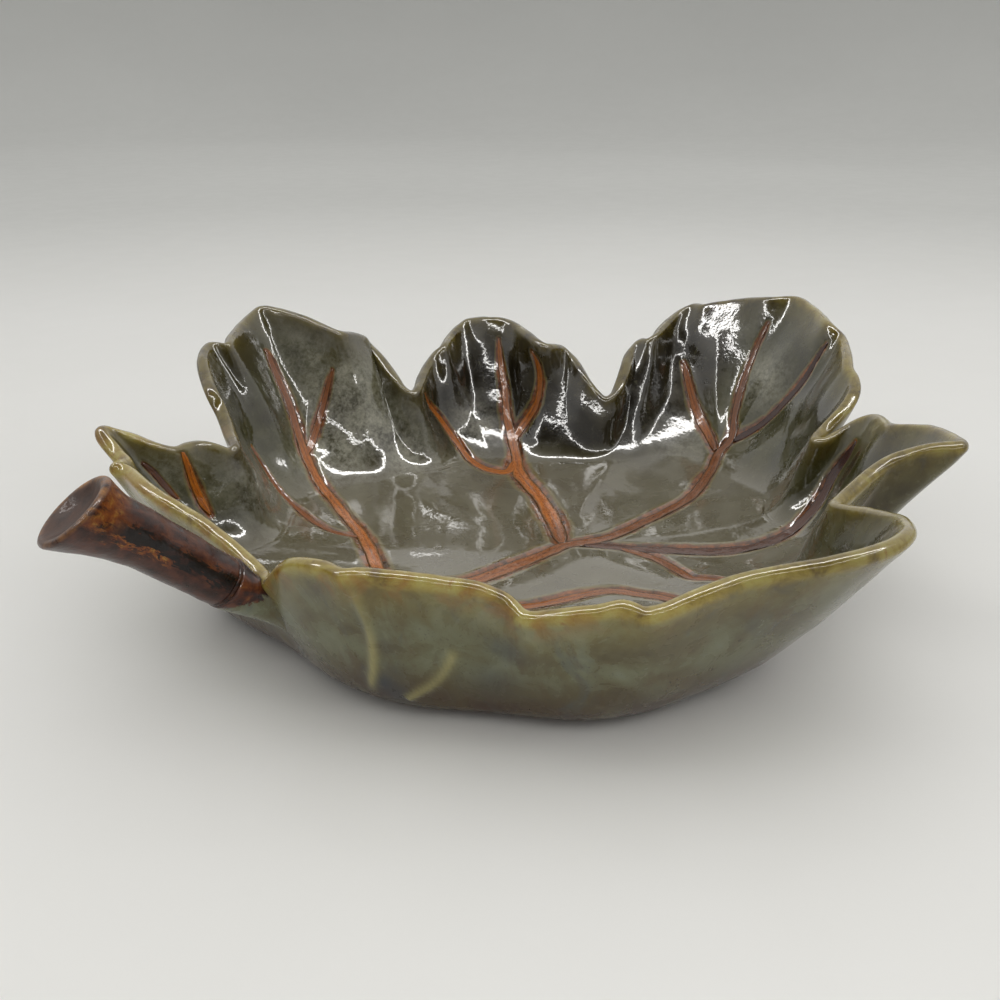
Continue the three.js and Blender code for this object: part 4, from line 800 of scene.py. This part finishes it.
def stem_material():
    g = Nodes("brown_stain")
    along, face, lip, top, flank = g.attr("along"), g.attr("face"), g.attr("lip"), g.attr("top"), g.attr("flank")
    middle, small = g.noise(190, 4, 0.65, 0.6), g.noise(650, 3, 0.6)
    drawn = g.combine(g.math("MULTIPLY", along, 4.0), g.math("MULTIPLY", top, 2.0), g.math("MULTIPLY", flank, 2.0))
    broad, ragged = g.noise(1.3, 4, 0.62, 0.5, drawn), g.noise(2.6, 5, 0.7, 0.5, drawn)
    body = g.ramp(g.math("ADD", g.math("MULTIPLY", broad, 0.6), g.math("MULTIPLY", middle, 0.4)),
                  [(0.34, "170c08"), (0.43, "2d140c"), (0.51, "442010"), (0.59, "582e15"), (0.68, "6c3f19"), (0.80, "3d2820")])
    # mauve-brown on the underside, darker there as painted shade
    body = g.mix(g.math("MULTIPLY", g.span(top, 0.0, -0.60), 0.70), body, g.ramp(middle, [(0.35, "27160f"), (0.6, "4a2c25")]))
    # orange where the stain is thin, below the flared end and as a torn edge under the black
    edge = g.math("ADD", top, g.math("MULTIPLY", g.math("SUBTRACT", ragged, 0.5), 1.5))
    thin = g.math("MULTIPLY", g.math("MULTIPLY", g.span(along, 0.78, 0.92), g.span(along, 1.04, 0.97)), g.math("MULTIPLY", g.span(edge, -0.30, 0.05), g.span(ragged, 0.36, 0.52)))
    torn = g.math("MULTIPLY", g.span(g.math("ABSOLUTE", g.math("ADD", edge, 0.24)), 0.13, 0.03), g.math("MULTIPLY", g.span(along, 0.40, 0.50), g.span(along, 0.90, 0.78)))
    body = g.mix(g.math("MULTIPLY", g.math("MAXIMUM", g.math("MULTIPLY", thin, 0.75), torn), 0.75), body, g.ramp(small, [(0.35, "6e3210"), (0.55, "925218"), (0.7, "ac7a32")]))
    # black patches along the middle of the stem
    black = g.math("MULTIPLY", g.span(g.math("ABSOLUTE", g.math("SUBTRACT", edge, 0.08)), 0.34, 0.20), g.math("MULTIPLY", g.span(along, 0.88, 0.76), g.span(broad, 0.34, 0.46)))
    body = g.mix(g.math("MULTIPLY", black, 0.95), body, srgb("0b0808"))
    # painted highlight: a paler golden line round the lip of the flared end, strongest on the upper side
    body = g.mix(g.math("MULTIPLY", g.math("MULTIPLY", lip, g.span(top, -0.6, 0.3, 0.30, 0.85)), g.span(ragged, 0.38, 0.54, 0.25, 1.0)), body, g.ramp(middle, [(0.35, "5e3514"), (0.6, "b07a38")]))
    end = g.ramp(middle, [(0.3, "301d15"), (0.5, "4a342a"), (0.7, "594034")])
    color = g.mix(face, body, end)
    peel = g.math("ADD", g.noise(230, 3, 0.6), g.math("MULTIPLY", small, 0.4))
    mat = g.finish(color, g.math("ADD", g.span(middle, 0.3, 0.7, 0.26, 0.46), g.math("MULTIPLY", face, 0.2)), g.bump(peel, 0.25, 0.0008), coat=0.5, coat_rough=0.09, spec=0.2)
    g.put(g.bsdf.inputs["Coat Weight"], g.span(face, 0.0, 1.0, 0.36, 0.15))
    return mat


def bead_material():
    g = Nodes("slip_bead")
    color = g.ramp(g.noise(380, 4, 0.65, 0.8), [(0.34, "150a06"), (0.46, "28110a"), (0.58, "40200e"), (0.76, "5e3a18")])
    return g.finish(color, g.span(g.noise(300, 2, 0.5), 0.3, 0.7, 0.18, 0.35), g.bump(g.noise(500, 2, 0.5), 0.4, 0.0005), coat=0.2, coat_rough=0.15, spec=0.2)


def clay_material():
    g = Nodes("bare_clay")
    color = g.ramp(g.noise(260, 5, 0.65, 0.3), [(0.30, "4a2a20"), (0.45, "6a4030"), (0.60, "84563f"), (0.75, "95705a")])
    color = g.mix(g.math("MULTIPLY", g.span(g.noise(1700, 2, 0.5), 0.60, 0.70), 0.5), color, srgb("2c1c15"))
    return g.finish(color, g.span(g.noise(500, 3, 0.6), 0.3, 0.7, 0.65, 0.9), g.bump(g.noise(1300, 4, 0.6), 0.6, 0.0004), coat=0.0)


GLAZE, RUST, STAIN, BEAD, CLAY = glaze_material(), slip_fill_material(), stem_material(), bead_material(), clay_material()

# ------------------------------------------------------------------ leaf bowl
stack = np.concatenate([shaped_in, cap, shaped_out, under], 0)
rows = stack.shape[0]
verts = stack.reshape(-1, 3)
faces = ring_faces(rows, D, flip=True)
top_mid, low_mid = len(verts), len(verts) + 1
middle_h = shaped_in[0, :, 2].mean()
verts = np.vstack([verts, [[0, 0, middle_h]], [[0, 0, FLOOR_MID - FLOOR_HALF]]])
last = (rows - 1) * D
for c in range(D):
    faces.append((top_mid, c, (c + 1) % D)[::-1])
    faces.append((low_mid, last + (c + 1) % D, last + c)[::-1])
profile = np.linalg.norm(np.diff(stack, axis=0), axis=2)
crest_row = rows_in + NC // 2
dist = np.zeros((rows, D))
for r in range(crest_row + 1, rows):
    dist[r] = dist[r - 1] + profile[r - 1]
for r in range(crest_row - 1, -1, -1):
    dist[r] = dist[r + 1] + profile[r]
inside = np.zeros((rows, D))
inside[:rows_in] = 1
inside[rows_in:rows_in + NC] = (0.5 + 0.5 * np.cos(phi))[:, None]
vq = np.ones((rows, D))
vq[:rows_in] = np.clip(q_in / 6, 0, 1).reshape(rows_in, D)
hz = np.zeros((rows, D))
HAZE = [((-12, 97, 42), 17, 1.0), ((-6, 89, 30), 15, 1.0), ((-20, 94, 24), 16, 1.0), ((4, 79, 20), 12, 0.8), ((-18, 106, 56), 12, 0.7), ((40, 80, 24), 10, 0.8),
        ((117, 2, 44), 11, 0.8), ((116, 6, 38), 9, 0.6), ((-96, 66, 44), 9, 0.8), ((-72, 66, 34), 17, 0.45), ((100, 24, 16), 14, 0.5), ((10, 74, 14), 16, 0.4)]
flat_shape = shaped_in.reshape(-1, 3)
milky = np.zeros(len(flat_shape))
for c, r, amount in HAZE:
    milky = np.maximum(milky, amount * np.exp(-(((flat_shape - np.array(c)) ** 2).sum(1)) / r ** 2))
hz[:rows_in] = milky.reshape(rows_in, D)
rg = np.zeros((rows, D))
rg[rows_in + NC:rows_in + NC + NO + 1] = np.clip(ridge * (1 - 0.6 * step(22.0, 34.0, flat_out[:, 2])) + 0.35 * faint, 0, 1).reshape(NO + 1, D)


# painted dark reflection on the inner walls of the lobes across from the stem
turned = np.degrees(np.arctan2(flat_shape[:, 1], flat_shape[:, 0])) + 6.0 * noise(flat_shape, 30.0, 71)
painted_dark_mask = np.zeros((rows, D))
painted_dark_mask[:rows_in] = (step(4.0, 13.0, turned) * step(84.0, 72.0, turned) * step(12.0, 22.0, flat_shape[:, 2] + 3.0 * noise(flat_shape, 14.0, 72))).reshape(rows_in, D)
# Spots of painted shade on the outside, beside and between the raised ridges and down the seam between two lobes.
SHADE = [((-112, -32, 40), 4.5, 1.0), ((-98, -40, 11), 5.0, 1.0), ((-84, -75, 37), 4.0, 0.6), ((-82, -71, 28), 5.0, 0.7), ((-80, -64, 17), 6.0, 0.5), ((-103, -46, 24), 4.5, 0.6), ((-100, -45, 15), 4.5, 0.6), ((-94, -42, 8), 5.0, 0.8)]
painted_shade_spots = np.zeros(len(flat_out))
for c, r, amount in SHADE:
    painted_shade_spots = np.maximum(painted_shade_spots, amount * np.exp(-(((flat_out - np.array(c)) ** 2).sum(1)) / r ** 2))
sh = np.zeros((rows, D))
sh[rows_in + NC:rows_in + NC + NO + 1] = painted_shade_spots.reshape(NO + 1, D)


def full(a, end_top, end_low):
    return np.r_[a.reshape(-1), end_top, end_low]


attrs = {"inner": full(inside, 1, 0), "crest": full(np.clip(dist / 30, 0, 1), 1, 1), "vq": full(vq, vq[0].mean(), 1),
         "haze": full(hz, 0, 0), "ridge": full(rg, 0, 0), "shade": full(sh, 0, 0), "painted_dark_reflection": full(painted_dark_mask, 0, 0), "root": full(np.zeros((rows, D)), 0, 0)}
start = len(verts)
verts = np.vstack([verts, root_rows.reshape(-1, 3), [STEM_JOINT], [root_rows[-1].mean(0)]])
faces += ring_faces(NBR + 1, NB, start, flip=False)
for c in range(NB):
    faces.append((start + (NBR + 1) * NB, start + (c + 1) % NB, start + c))
    faces.append((start + (NBR + 1) * NB + 1, start + NBR * NB + c, start + NBR * NB + (c + 1) % NB))
extra = (NBR + 1) * NB + 2
for key, value in {"inner": 0.0, "crest": 1.0, "vq": 1.0, "haze": 0.0, "ridge": 0.0, "shade": 0.0, "painted_dark_reflection": 0.0}.items():
    attrs[key] = np.r_[attrs[key], np.full(extra, value)]
reach_of_stain = np.maximum(1.0, 7.5 + 7.0 * np.sin(ang))                       # longer on the upper side
far = np.linalg.norm(root_rows - p0[None], axis=2)
attrs["root"] = np.r_[attrs["root"], np.clip(1.0 - 0.55 * far / reach_of_stain[None], 0, 1).reshape(-1), 1.0, 0.0]
bowl = make("leaf_bowl_glazed", verts, faces, attrs, GLAZE, "leaf_bowl", "green_glaze")

# ------------------------------------------------------------------ vein fills
for number, (name, s) in enumerate(STROKES.items()):
    p, nn, w, run = s["p"], s["n"], s["w"].copy(), s["s"]
    n = len(p)
    tan = unit(np.gradient(p, axis=0))
    side = unit(np.cross(nn, tan))
    ends = np.minimum(np.minimum(run + 1.2, run[-1] - run + 0.6) / 5.0, 1) ** 0.6
    w = 0.93 * w * ends * (1 + 0.16 * noise(p, 7.0, 31) + 0.10 * noise(p, 2.6, 32))
    across = np.linspace(-1, 1, 9)
    tops = p[:, None] + side[:, None] * (across[None, :, None] * 0.5 * w[:, None, None])
    tp, tn, tt = lay(tops.reshape(-1, 3))
    d, _, b = nearest_vein(tp)
    lift = swell(tp, tt, d, b).reshape(n, 9)
    sink = -0.30 + 0.10 * (1 - across[None] ** 2) + 0.05 * noise(tp, 2.2, 33).reshape(n, 9) - 0.02 * number / 16
    tp, tn = tp.reshape(n, 9, 3), tn.reshape(n, 9, 3)
    upper = tp + tn * (lift + sink)[:, :, None]
    lower = (tp + tn * (lift - 1.05)[:, :, None])[:, ::-1][:, 1:-1:2]
    ring = np.concatenate([upper, lower], 1)
    m = ring.shape[1]
    v = np.vstack([ring.reshape(-1, 3), ring[0].mean(0)[None], ring[-1].mean(0)[None]])
    f = ring_faces(n, m, flip=False)
    for c in range(m):
        f.append((n * m, (c + 1) % m, c))
        f.append((n * m + 1, (n - 1) * m + c, (n - 1) * m + (c + 1) % m))
    al = np.repeat(run / 30.0, m)
    ac = np.tile(np.r_[across, across[::-1][1:-1:2]], n)
    dark = {"vein_d_right": 1.0, "vein_e": 0.75, "vein_b_lower": 0.5, "vein_a_outer": 0.6, "vein_d_left": 0.1, "vein_b_right": 0.2, "vein_a": -0.3}.get(name, 0.0)
    make("fill_" + name[5:], v, f,
         {"along": np.r_[al, al[0], al[-1]], "across": np.r_[ac, 0, 0], "seed": np.full(len(v), number * 3.7), "dark": np.clip(dark + (0.60 if name == "vein_b_trunk" else 0.32) * step(16.0, 40.0, v[:, 2]), 0, 1)},
         RUST, name, "rust_slip")

# ------------------------------------------------------------------ stem
NS = 96
a = 2 * np.pi * np.arange(NS) / NS
base = STEM_JOINT + STEM_DIR * 1.45
profile_d = np.linspace(0, 45.3, 94)
profile_r = catmull(np.array(STEM_STATIONS, float) @ np.array([[1, 0, 0], [0, 1, 0]]), np.linspace(0, 1, 400), False)
radii = np.interp(profile_d, profile_r[:, 0], profile_r[:, 1])
prof = [(d, r, 0.0, 0.0) for d, r in zip(profile_d, radii)]
prof += [(45.9, 11.05, 0, .6), (46.35, 10.8, 0, 1), (46.6, 10.35, 0, 1), (46.7, 9.8, .1, 1), (46.6, 9.2, .4, .8), (46.25, 8.5, .9, .3),
         (45.7, 7.7, 1, 0), (45.1, 6.8, 1, 0), (44.5, 5.7, 1, 0), (44.0, 4.4, 1, 0), (43.6, 3.1, 1, 0), (43.4, 1.7, 1, 0), (43.3, 0.5, 1, 0)]
sv, s_al, s_face, s_lip, s_top = [], [], [], [], []
for d, r, fa, li in prof:
    blend = max(0.0, min(1.0, (d - 24) / 21.3))
    ax = unit(STEM_DIR + (STEM_CUT - STEM_DIR) * blend)
    sd = unit(SIDE - ax * SIDE.dot(ax))
    ov = unit(np.cross(sd, ax))
    sag = 1.5 * float(step(26.0, 45.3, d))                       # the flared end hangs a little below the line of the stem
    ring = base + STEM_DIR * d - OVER * sag + (np.cos(a)[:, None] * sd + np.sin(a)[:, None] * ov) * r
    sv.append(ring)
    s_al.append(np.full(NS, d / 45.3)); s_face.append(np.full(NS, fa)); s_lip.append(np.full(NS, li)); s_top.append(np.sin(a))
sv = np.array(sv)
centre = sv.mean(1, keepdims=True)
outw = unit(sv - centre)
wob = 0.30 * noise(sv.reshape(-1, 3), 11.0, 41) + 0.14 * noise(sv.reshape(-1, 3), 4.5, 42)
wob = wob.reshape(len(prof), NS) * np.minimum(1, np.array([p[1] for p in prof]) / 6)[:, None] * np.clip(np.array([p[0] for p in prof]) / 4, 0, 1)[:, None]
sv = sv + outw * wob[:, :, None]
n = len(prof)
v = np.vstack([sv.reshape(-1, 3), sv[0].mean(0)[None], sv[-1].mean(0)[None]])
f = ring_faces(n, NS, flip=False)
for c in range(NS):
    f.append((n * NS, (c + 1) % NS, c))
    f.append((n * NS + 1, (n - 1) * NS + c, (n - 1) * NS + (c + 1) % NS))
cat = lambda x, e0, e1: np.r_[np.concatenate(x), e0, e1]
make("stem_stained", v, f, {"along": cat(s_al, 0, 1), "face": cat(s_face, 0, 1), "lip": cat(s_lip, 0, 0), "top": cat(s_top, 0, 0), "flank": np.r_[np.tile(np.cos(a), n), 0, 0]},
     STAIN, "stem_handle", "brown_stain")

# ------------------------------------------------------------------ bead of slip at the joint
prof = [(-0.02, 2.0), (-0.02, 5.5), (0.0, 6.8), (0.15, 6.98), (0.45, 7.06), (0.75, 7.06), (1.05, 7.02), (1.32, 6.94), (1.46, 6.8), (1.48, 5.5), (1.48, 2.0)]
bv = np.array([STEM_JOINT + STEM_DIR * h + r * ring_dir for h, r in prof])
lump = noise(bv.reshape(-1, 3), 3.2, 51).reshape(len(prof), NB) * np.array([0, 0, .1, .25, .3, .3, .3, .2, .1, 0, 0])[:, None]
bv = bv + ring_dir[None] * (lump * 0.6)[:, :, None]
v = np.vstack([bv.reshape(-1, 3), [bv[0].mean(0)], [bv[-1].mean(0)]])
f = ring_faces(len(prof), NB, flip=False)
for c in range(NB):
    f.append((len(prof) * NB, (c + 1) % NB, c))
    f.append((len(prof) * NB + 1, (len(prof) - 1) * NB + c, (len(prof) - 1) * NB + (c + 1) % NB))
make("slip_bead_joint", v, f, {}, BEAD, "luting_slip", "slip_bead")

# ------------------------------------------------------------------ foot ring
shape = [(0.965, 2.31), (0.9655, 1.5), (0.965, 0.7), (0.963, 0.3), (0.958, 0.06), (0.951, 0.0), (0.92, 0.0), (0.889, 0.0), (0.882, 0.06), (0.877, 0.3), (0.875, 0.8), (0.875, 2.31)]
pick = np.arange(0, D, 2)
fv = np.array([np.concatenate([Q[pick] * k, np.full((len(pick), 1), zz)], 1) for k, zz in shape])
fl = fv.reshape(-1, 3)
fl[:, :2] *= (1 + 0.0025 * noise(fl, 12.0, 61) + 0.0012 * noise(fl, 4.0, 62))[:, None]
f = ring_faces(len(shape), len(pick), flip=True)
k = len(pick)
f += [((len(shape) - 1) * k + c, (len(shape) - 1) * k + (c + 1) % k, (c + 1) % k, c)[::-1] for c in range(k)]
make("foot_ring_clay", fl, f, {}, CLAY, "foot_ring", "bare_clay")

# ------------------------------------------------------------------ outward faces
import bmesh
for ob in [o for o in bpy.context.scene.objects if o.type == "MESH" and "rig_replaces" in o]:
    bm = bmesh.new()
    bm.from_mesh(ob.data)
    bmesh.ops.recalc_face_normals(bm, faces=bm.faces)
    bm.to_mesh(ob.data)
    bm.free()

# ------------------------------------------------------------------ floor, light and camera
g = Nodes("pale_floor")
reach = g.math("SQRT", g.math("ADD", g.math("POWER", g.axis(0), 2.0), g.math("POWER", g.axis(1), 2.0)))
pale = g.mix(g.span(reach, 0.25, 1.1), g.ramp(g.noise(3.0, 4, 0.5), [(0.3, "e4e4e1"), (0.7, "e9e9e7")]), g.ramp(g.noise(2.0, 3, 0.5), [(0.3, "c5c6c3"), (0.7, "cacbc8")]))
g.finish(pale, g.span(g.noise(40, 2, 0.5), 0.3, 0.7, 0.55, 0.65), g.bump(g.noise(900, 2, 0.5), 0.05, 0.0003), coat=0.0)
me = bpy.data.meshes.new("floor")
NFL = 96
sweep = [(0.6, 0.0), (1.2, 0.0), (1.8, 0.0)]
sweep += [(1.8 + 0.9 * math.sin(k * math.pi / 24), 0.9 - 0.9 * math.cos(k * math.pi / 24)) for k in range(1, 9)]
fl_v = [(0.0, 0.0, 0.0)] + [(r * math.cos(2 * math.pi * i / NFL), r * math.sin(2 * math.pi * i / NFL), z) for r, z in sweep for i in range(NFL)]
fl_f = [(0, 1 + i, 1 + (i + 1) % NFL) for i in range(NFL)]
fl_f += [(1 + k * NFL + i, 1 + (k + 1) * NFL + i, 1 + (k + 1) * NFL + (i + 1) % NFL, 1 + k * NFL + (i + 1) % NFL) for k in range(len(sweep) - 1) for i in range(NFL)]
me.from_pydata(fl_v, [], fl_f)
me.polygons.foreach_set("use_smooth", np.ones(len(me.polygons), bool))
me.materials.append(g.mat)
ground = bpy.data.objects.new("floor", me)
bpy.context.scene.collection.objects.link(ground)
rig.stage(ground)

cam_data = bpy.data.cameras.new("camera")
cam_data.sensor_width = 36.0
cam_data.lens = 42.4
cam_data.clip_start = 0.01
cam = bpy.data.objects.new("camera", cam_data)
bpy.context.scene.collection.objects.link(cam)
eye, aim = Vector(to_m((-253.03, -255.64, 164.18))), Vector(to_m((31.84, 57.42, 0.0)))
cam.location = eye
cam.rotation_euler = (aim - eye).to_track_quat("-Z", "Y").to_euler()
bpy.context.scene.camera = cam

forward = Vector((aim.x - eye.x, aim.y - eye.y, 0)).normalized()
right = Vector((forward.y, -forward.x, 0))
# The tent is open overhead, on the camera's side; bright strips border the opening.
ROOF, HOLE_L, HOLE_R, HOLE_BACK, HOLE_FRONT, STRIP, GLOW, TENT = 1.5, -1.12, 1.05, 0.12, 1.12, 0.078, 26.0, 0.95
OVERHEAD = 1.2


def strip(name, u, v, du, dv):
    light = bpy.data.lights.new(name, "AREA")
    light.shape = "RECTANGLE"
    light.size, light.size_y = du * ROOF, dv * ROOF
    light.energy = GLOW * math.pi * light.size * light.size_y
    light.color = (1.0, 0.985, 0.96)
    ob = bpy.data.objects.new(name, light)
    bpy.context.scene.collection.objects.link(ob)
    ob.location = (right * u - forward * v + Vector((0, 0, 1))) * ROOF
    ob.rotation_euler = (0, 0, math.atan2(right.y, right.x))
    ob.visible_diffuse = False                                   # seen in the glaze; the pale tent itself lights the dish


MID_U, MID_V = (HOLE_L + HOLE_R) / 2, (HOLE_BACK + HOLE_FRONT) / 2
strip("strip_back", MID_U, HOLE_BACK - 0.01, HOLE_R - HOLE_L, STRIP * 1.3)
strip("strip_front", MID_U, HOLE_FRONT, HOLE_R - HOLE_L, STRIP)
strip("strip_left", HOLE_L, MID_V, STRIP, HOLE_FRONT - HOLE_BACK)
strip("strip_right", HOLE_R, MID_V, STRIP, HOLE_FRONT - HOLE_BACK)
# The light that falls through the opening itself, soft and not mirrored.
glow = bpy.data.lights.new("overhead", "AREA")
glow.shape = "RECTANGLE"
glow.size, glow.size_y = (HOLE_R - HOLE_L) * ROOF, (HOLE_FRONT - HOLE_BACK) * ROOF
glow.energy = OVERHEAD * math.pi * glow.size * glow.size_y
glow.color = (1.0, 0.985, 0.955)
over = bpy.data.objects.new("overhead", glow)
bpy.context.scene.collection.objects.link(over)
over.location = (right * (MID_U + 0.80) - forward * MID_V + Vector((0, 0, 1))) * ROOF
over.rotation_euler = (0, 0, math.atan2(right.y, right.x))
over.visible_glossy = False
# A narrow slot between the tent's back panels, with bright edges.
SLOT_EL, SLOT_W, SLOT_H = 34.5, 0.045, 0.085
slot = forward * math.cos(math.radians(SLOT_EL)) + right * 0.02 + Vector((0, 0, 1)) * math.sin(math.radians(SLOT_EL))
slot.normalize()
slot_up = right.cross(slot).normalized()

world = bpy.data.worlds.new("tent")
bpy.context.scene.world = world
world.use_nodes = True
wt = world.node_tree
wt.nodes.clear()
w_out = wt.nodes.new("ShaderNodeOutputWorld")
w_bg = wt.nodes.new("ShaderNodeBackground")
wt.links.new(w_bg.outputs[0], w_out.inputs[0])
w_dir = wt.nodes.new("ShaderNodeTexCoord").outputs["Generated"]


def w_dot(v):
    n = wt.nodes.new("ShaderNodeVectorMath")
    n.operation = "DOT_PRODUCT"
    wt.links.new(w_dir, n.inputs[0])
    n.inputs[1].default_value = v
    return n.outputs["Value"]


def w_math(op, a, b=0.0):
    n = wt.nodes.new("ShaderNodeMath")
    n.operation = op
    for s, x in zip(n.inputs, (a, b)):
        if isinstance(x, bpy.types.NodeSocket):
            wt.links.new(x, s)
        else:
            s.default_value = x
    return n.outputs[0]


def w_span(v, a, b, c=0.0, d=1.0):
    n = wt.nodes.new("ShaderNodeMapRange")
    n.interpolation_type = "SMOOTHSTEP"
    wt.links.new(v, n.inputs["Value"])
    for key, x in zip(("From Min", "From Max", "To Min", "To Max"), (a, b, c, d)):
        n.inputs[key].default_value = x
    return n.outputs["Result"]


height = w_dot(Vector((0, 0, 1)))
depth = w_math("MAXIMUM", height, 0.05)
hu = w_math("DIVIDE", w_dot(right), depth)
hv = w_math("DIVIDE", w_dot(-forward), depth)
in_hole = w_math("MULTIPLY", w_math("MULTIPLY", w_span(hu, HOLE_L, HOLE_L + 0.03), w_span(hu, HOLE_R, HOLE_R - 0.03)),
                 w_math("MULTIPLY", w_span(hv, HOLE_BACK, HOLE_BACK + 0.03), w_span(hv, HOLE_FRONT, HOLE_FRONT - 0.03)))
in_hole = w_math("MULTIPLY", in_hole, w_span(height, 0.05, 0.1))
front = w_math("MULTIPLY", w_span(w_dot(-forward), 0.35, 0.75), w_span(height, 0.70, 0.55))
tent = w_span(height, -0.1, 0.9, TENT * 0.9, TENT * 1.1)
tent = w_math("MULTIPLY", tent, w_math("SUBTRACT", 1.0, w_math("MULTIPLY", front, 0.55)))
aside = w_dot(right - slot * right.dot(slot))
su = w_math("ABSOLUTE", aside)
sv2 = w_math("ABSOLUTE", w_dot(slot_up))
in_slot = w_math("MULTIPLY", w_math("MULTIPLY", w_span(su, SLOT_W, SLOT_W - 0.008), w_span(sv2, SLOT_H, SLOT_H - 0.02)), w_span(w_dot(slot), 0.8, 0.9))
tent = w_math("MULTIPLY", tent, w_math("SUBTRACT", 1.0, w_math("MULTIPLY", in_hole, 0.99)))
tent = w_math("MULTIPLY", tent, w_math("SUBTRACT", 1.0, w_math("MULTIPLY", in_slot, 0.96)))
by_slot = w_math("MULTIPLY", w_math("MULTIPLY", w_span(su, SLOT_W + 0.012, SLOT_W + 0.006), w_span(sv2, SLOT_H + 0.012, SLOT_H + 0.006)), w_span(w_dot(slot), 0.8, 0.9))
tent = w_math("ADD", tent, w_math("MULTIPLY", w_math("MULTIPLY", w_math("SUBTRACT", by_slot, in_slot), w_span(aside, -0.02, -0.035)), 5.0))
wt.links.new(tent, w_bg.inputs["Strength"])
w_bg.inputs["Color"].default_value = (1.0, 0.992, 0.972, 1)

scene = bpy.context.scene
scene.view_settings.view_transform = "Standard"
scene.view_settings.look = "None"
bpy.context.view_layer.update()
with open("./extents.json", "w") as fh:
    json.dump({"cad": CAD_BOX, "visual": [list(v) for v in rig.bounds()]}, fh)
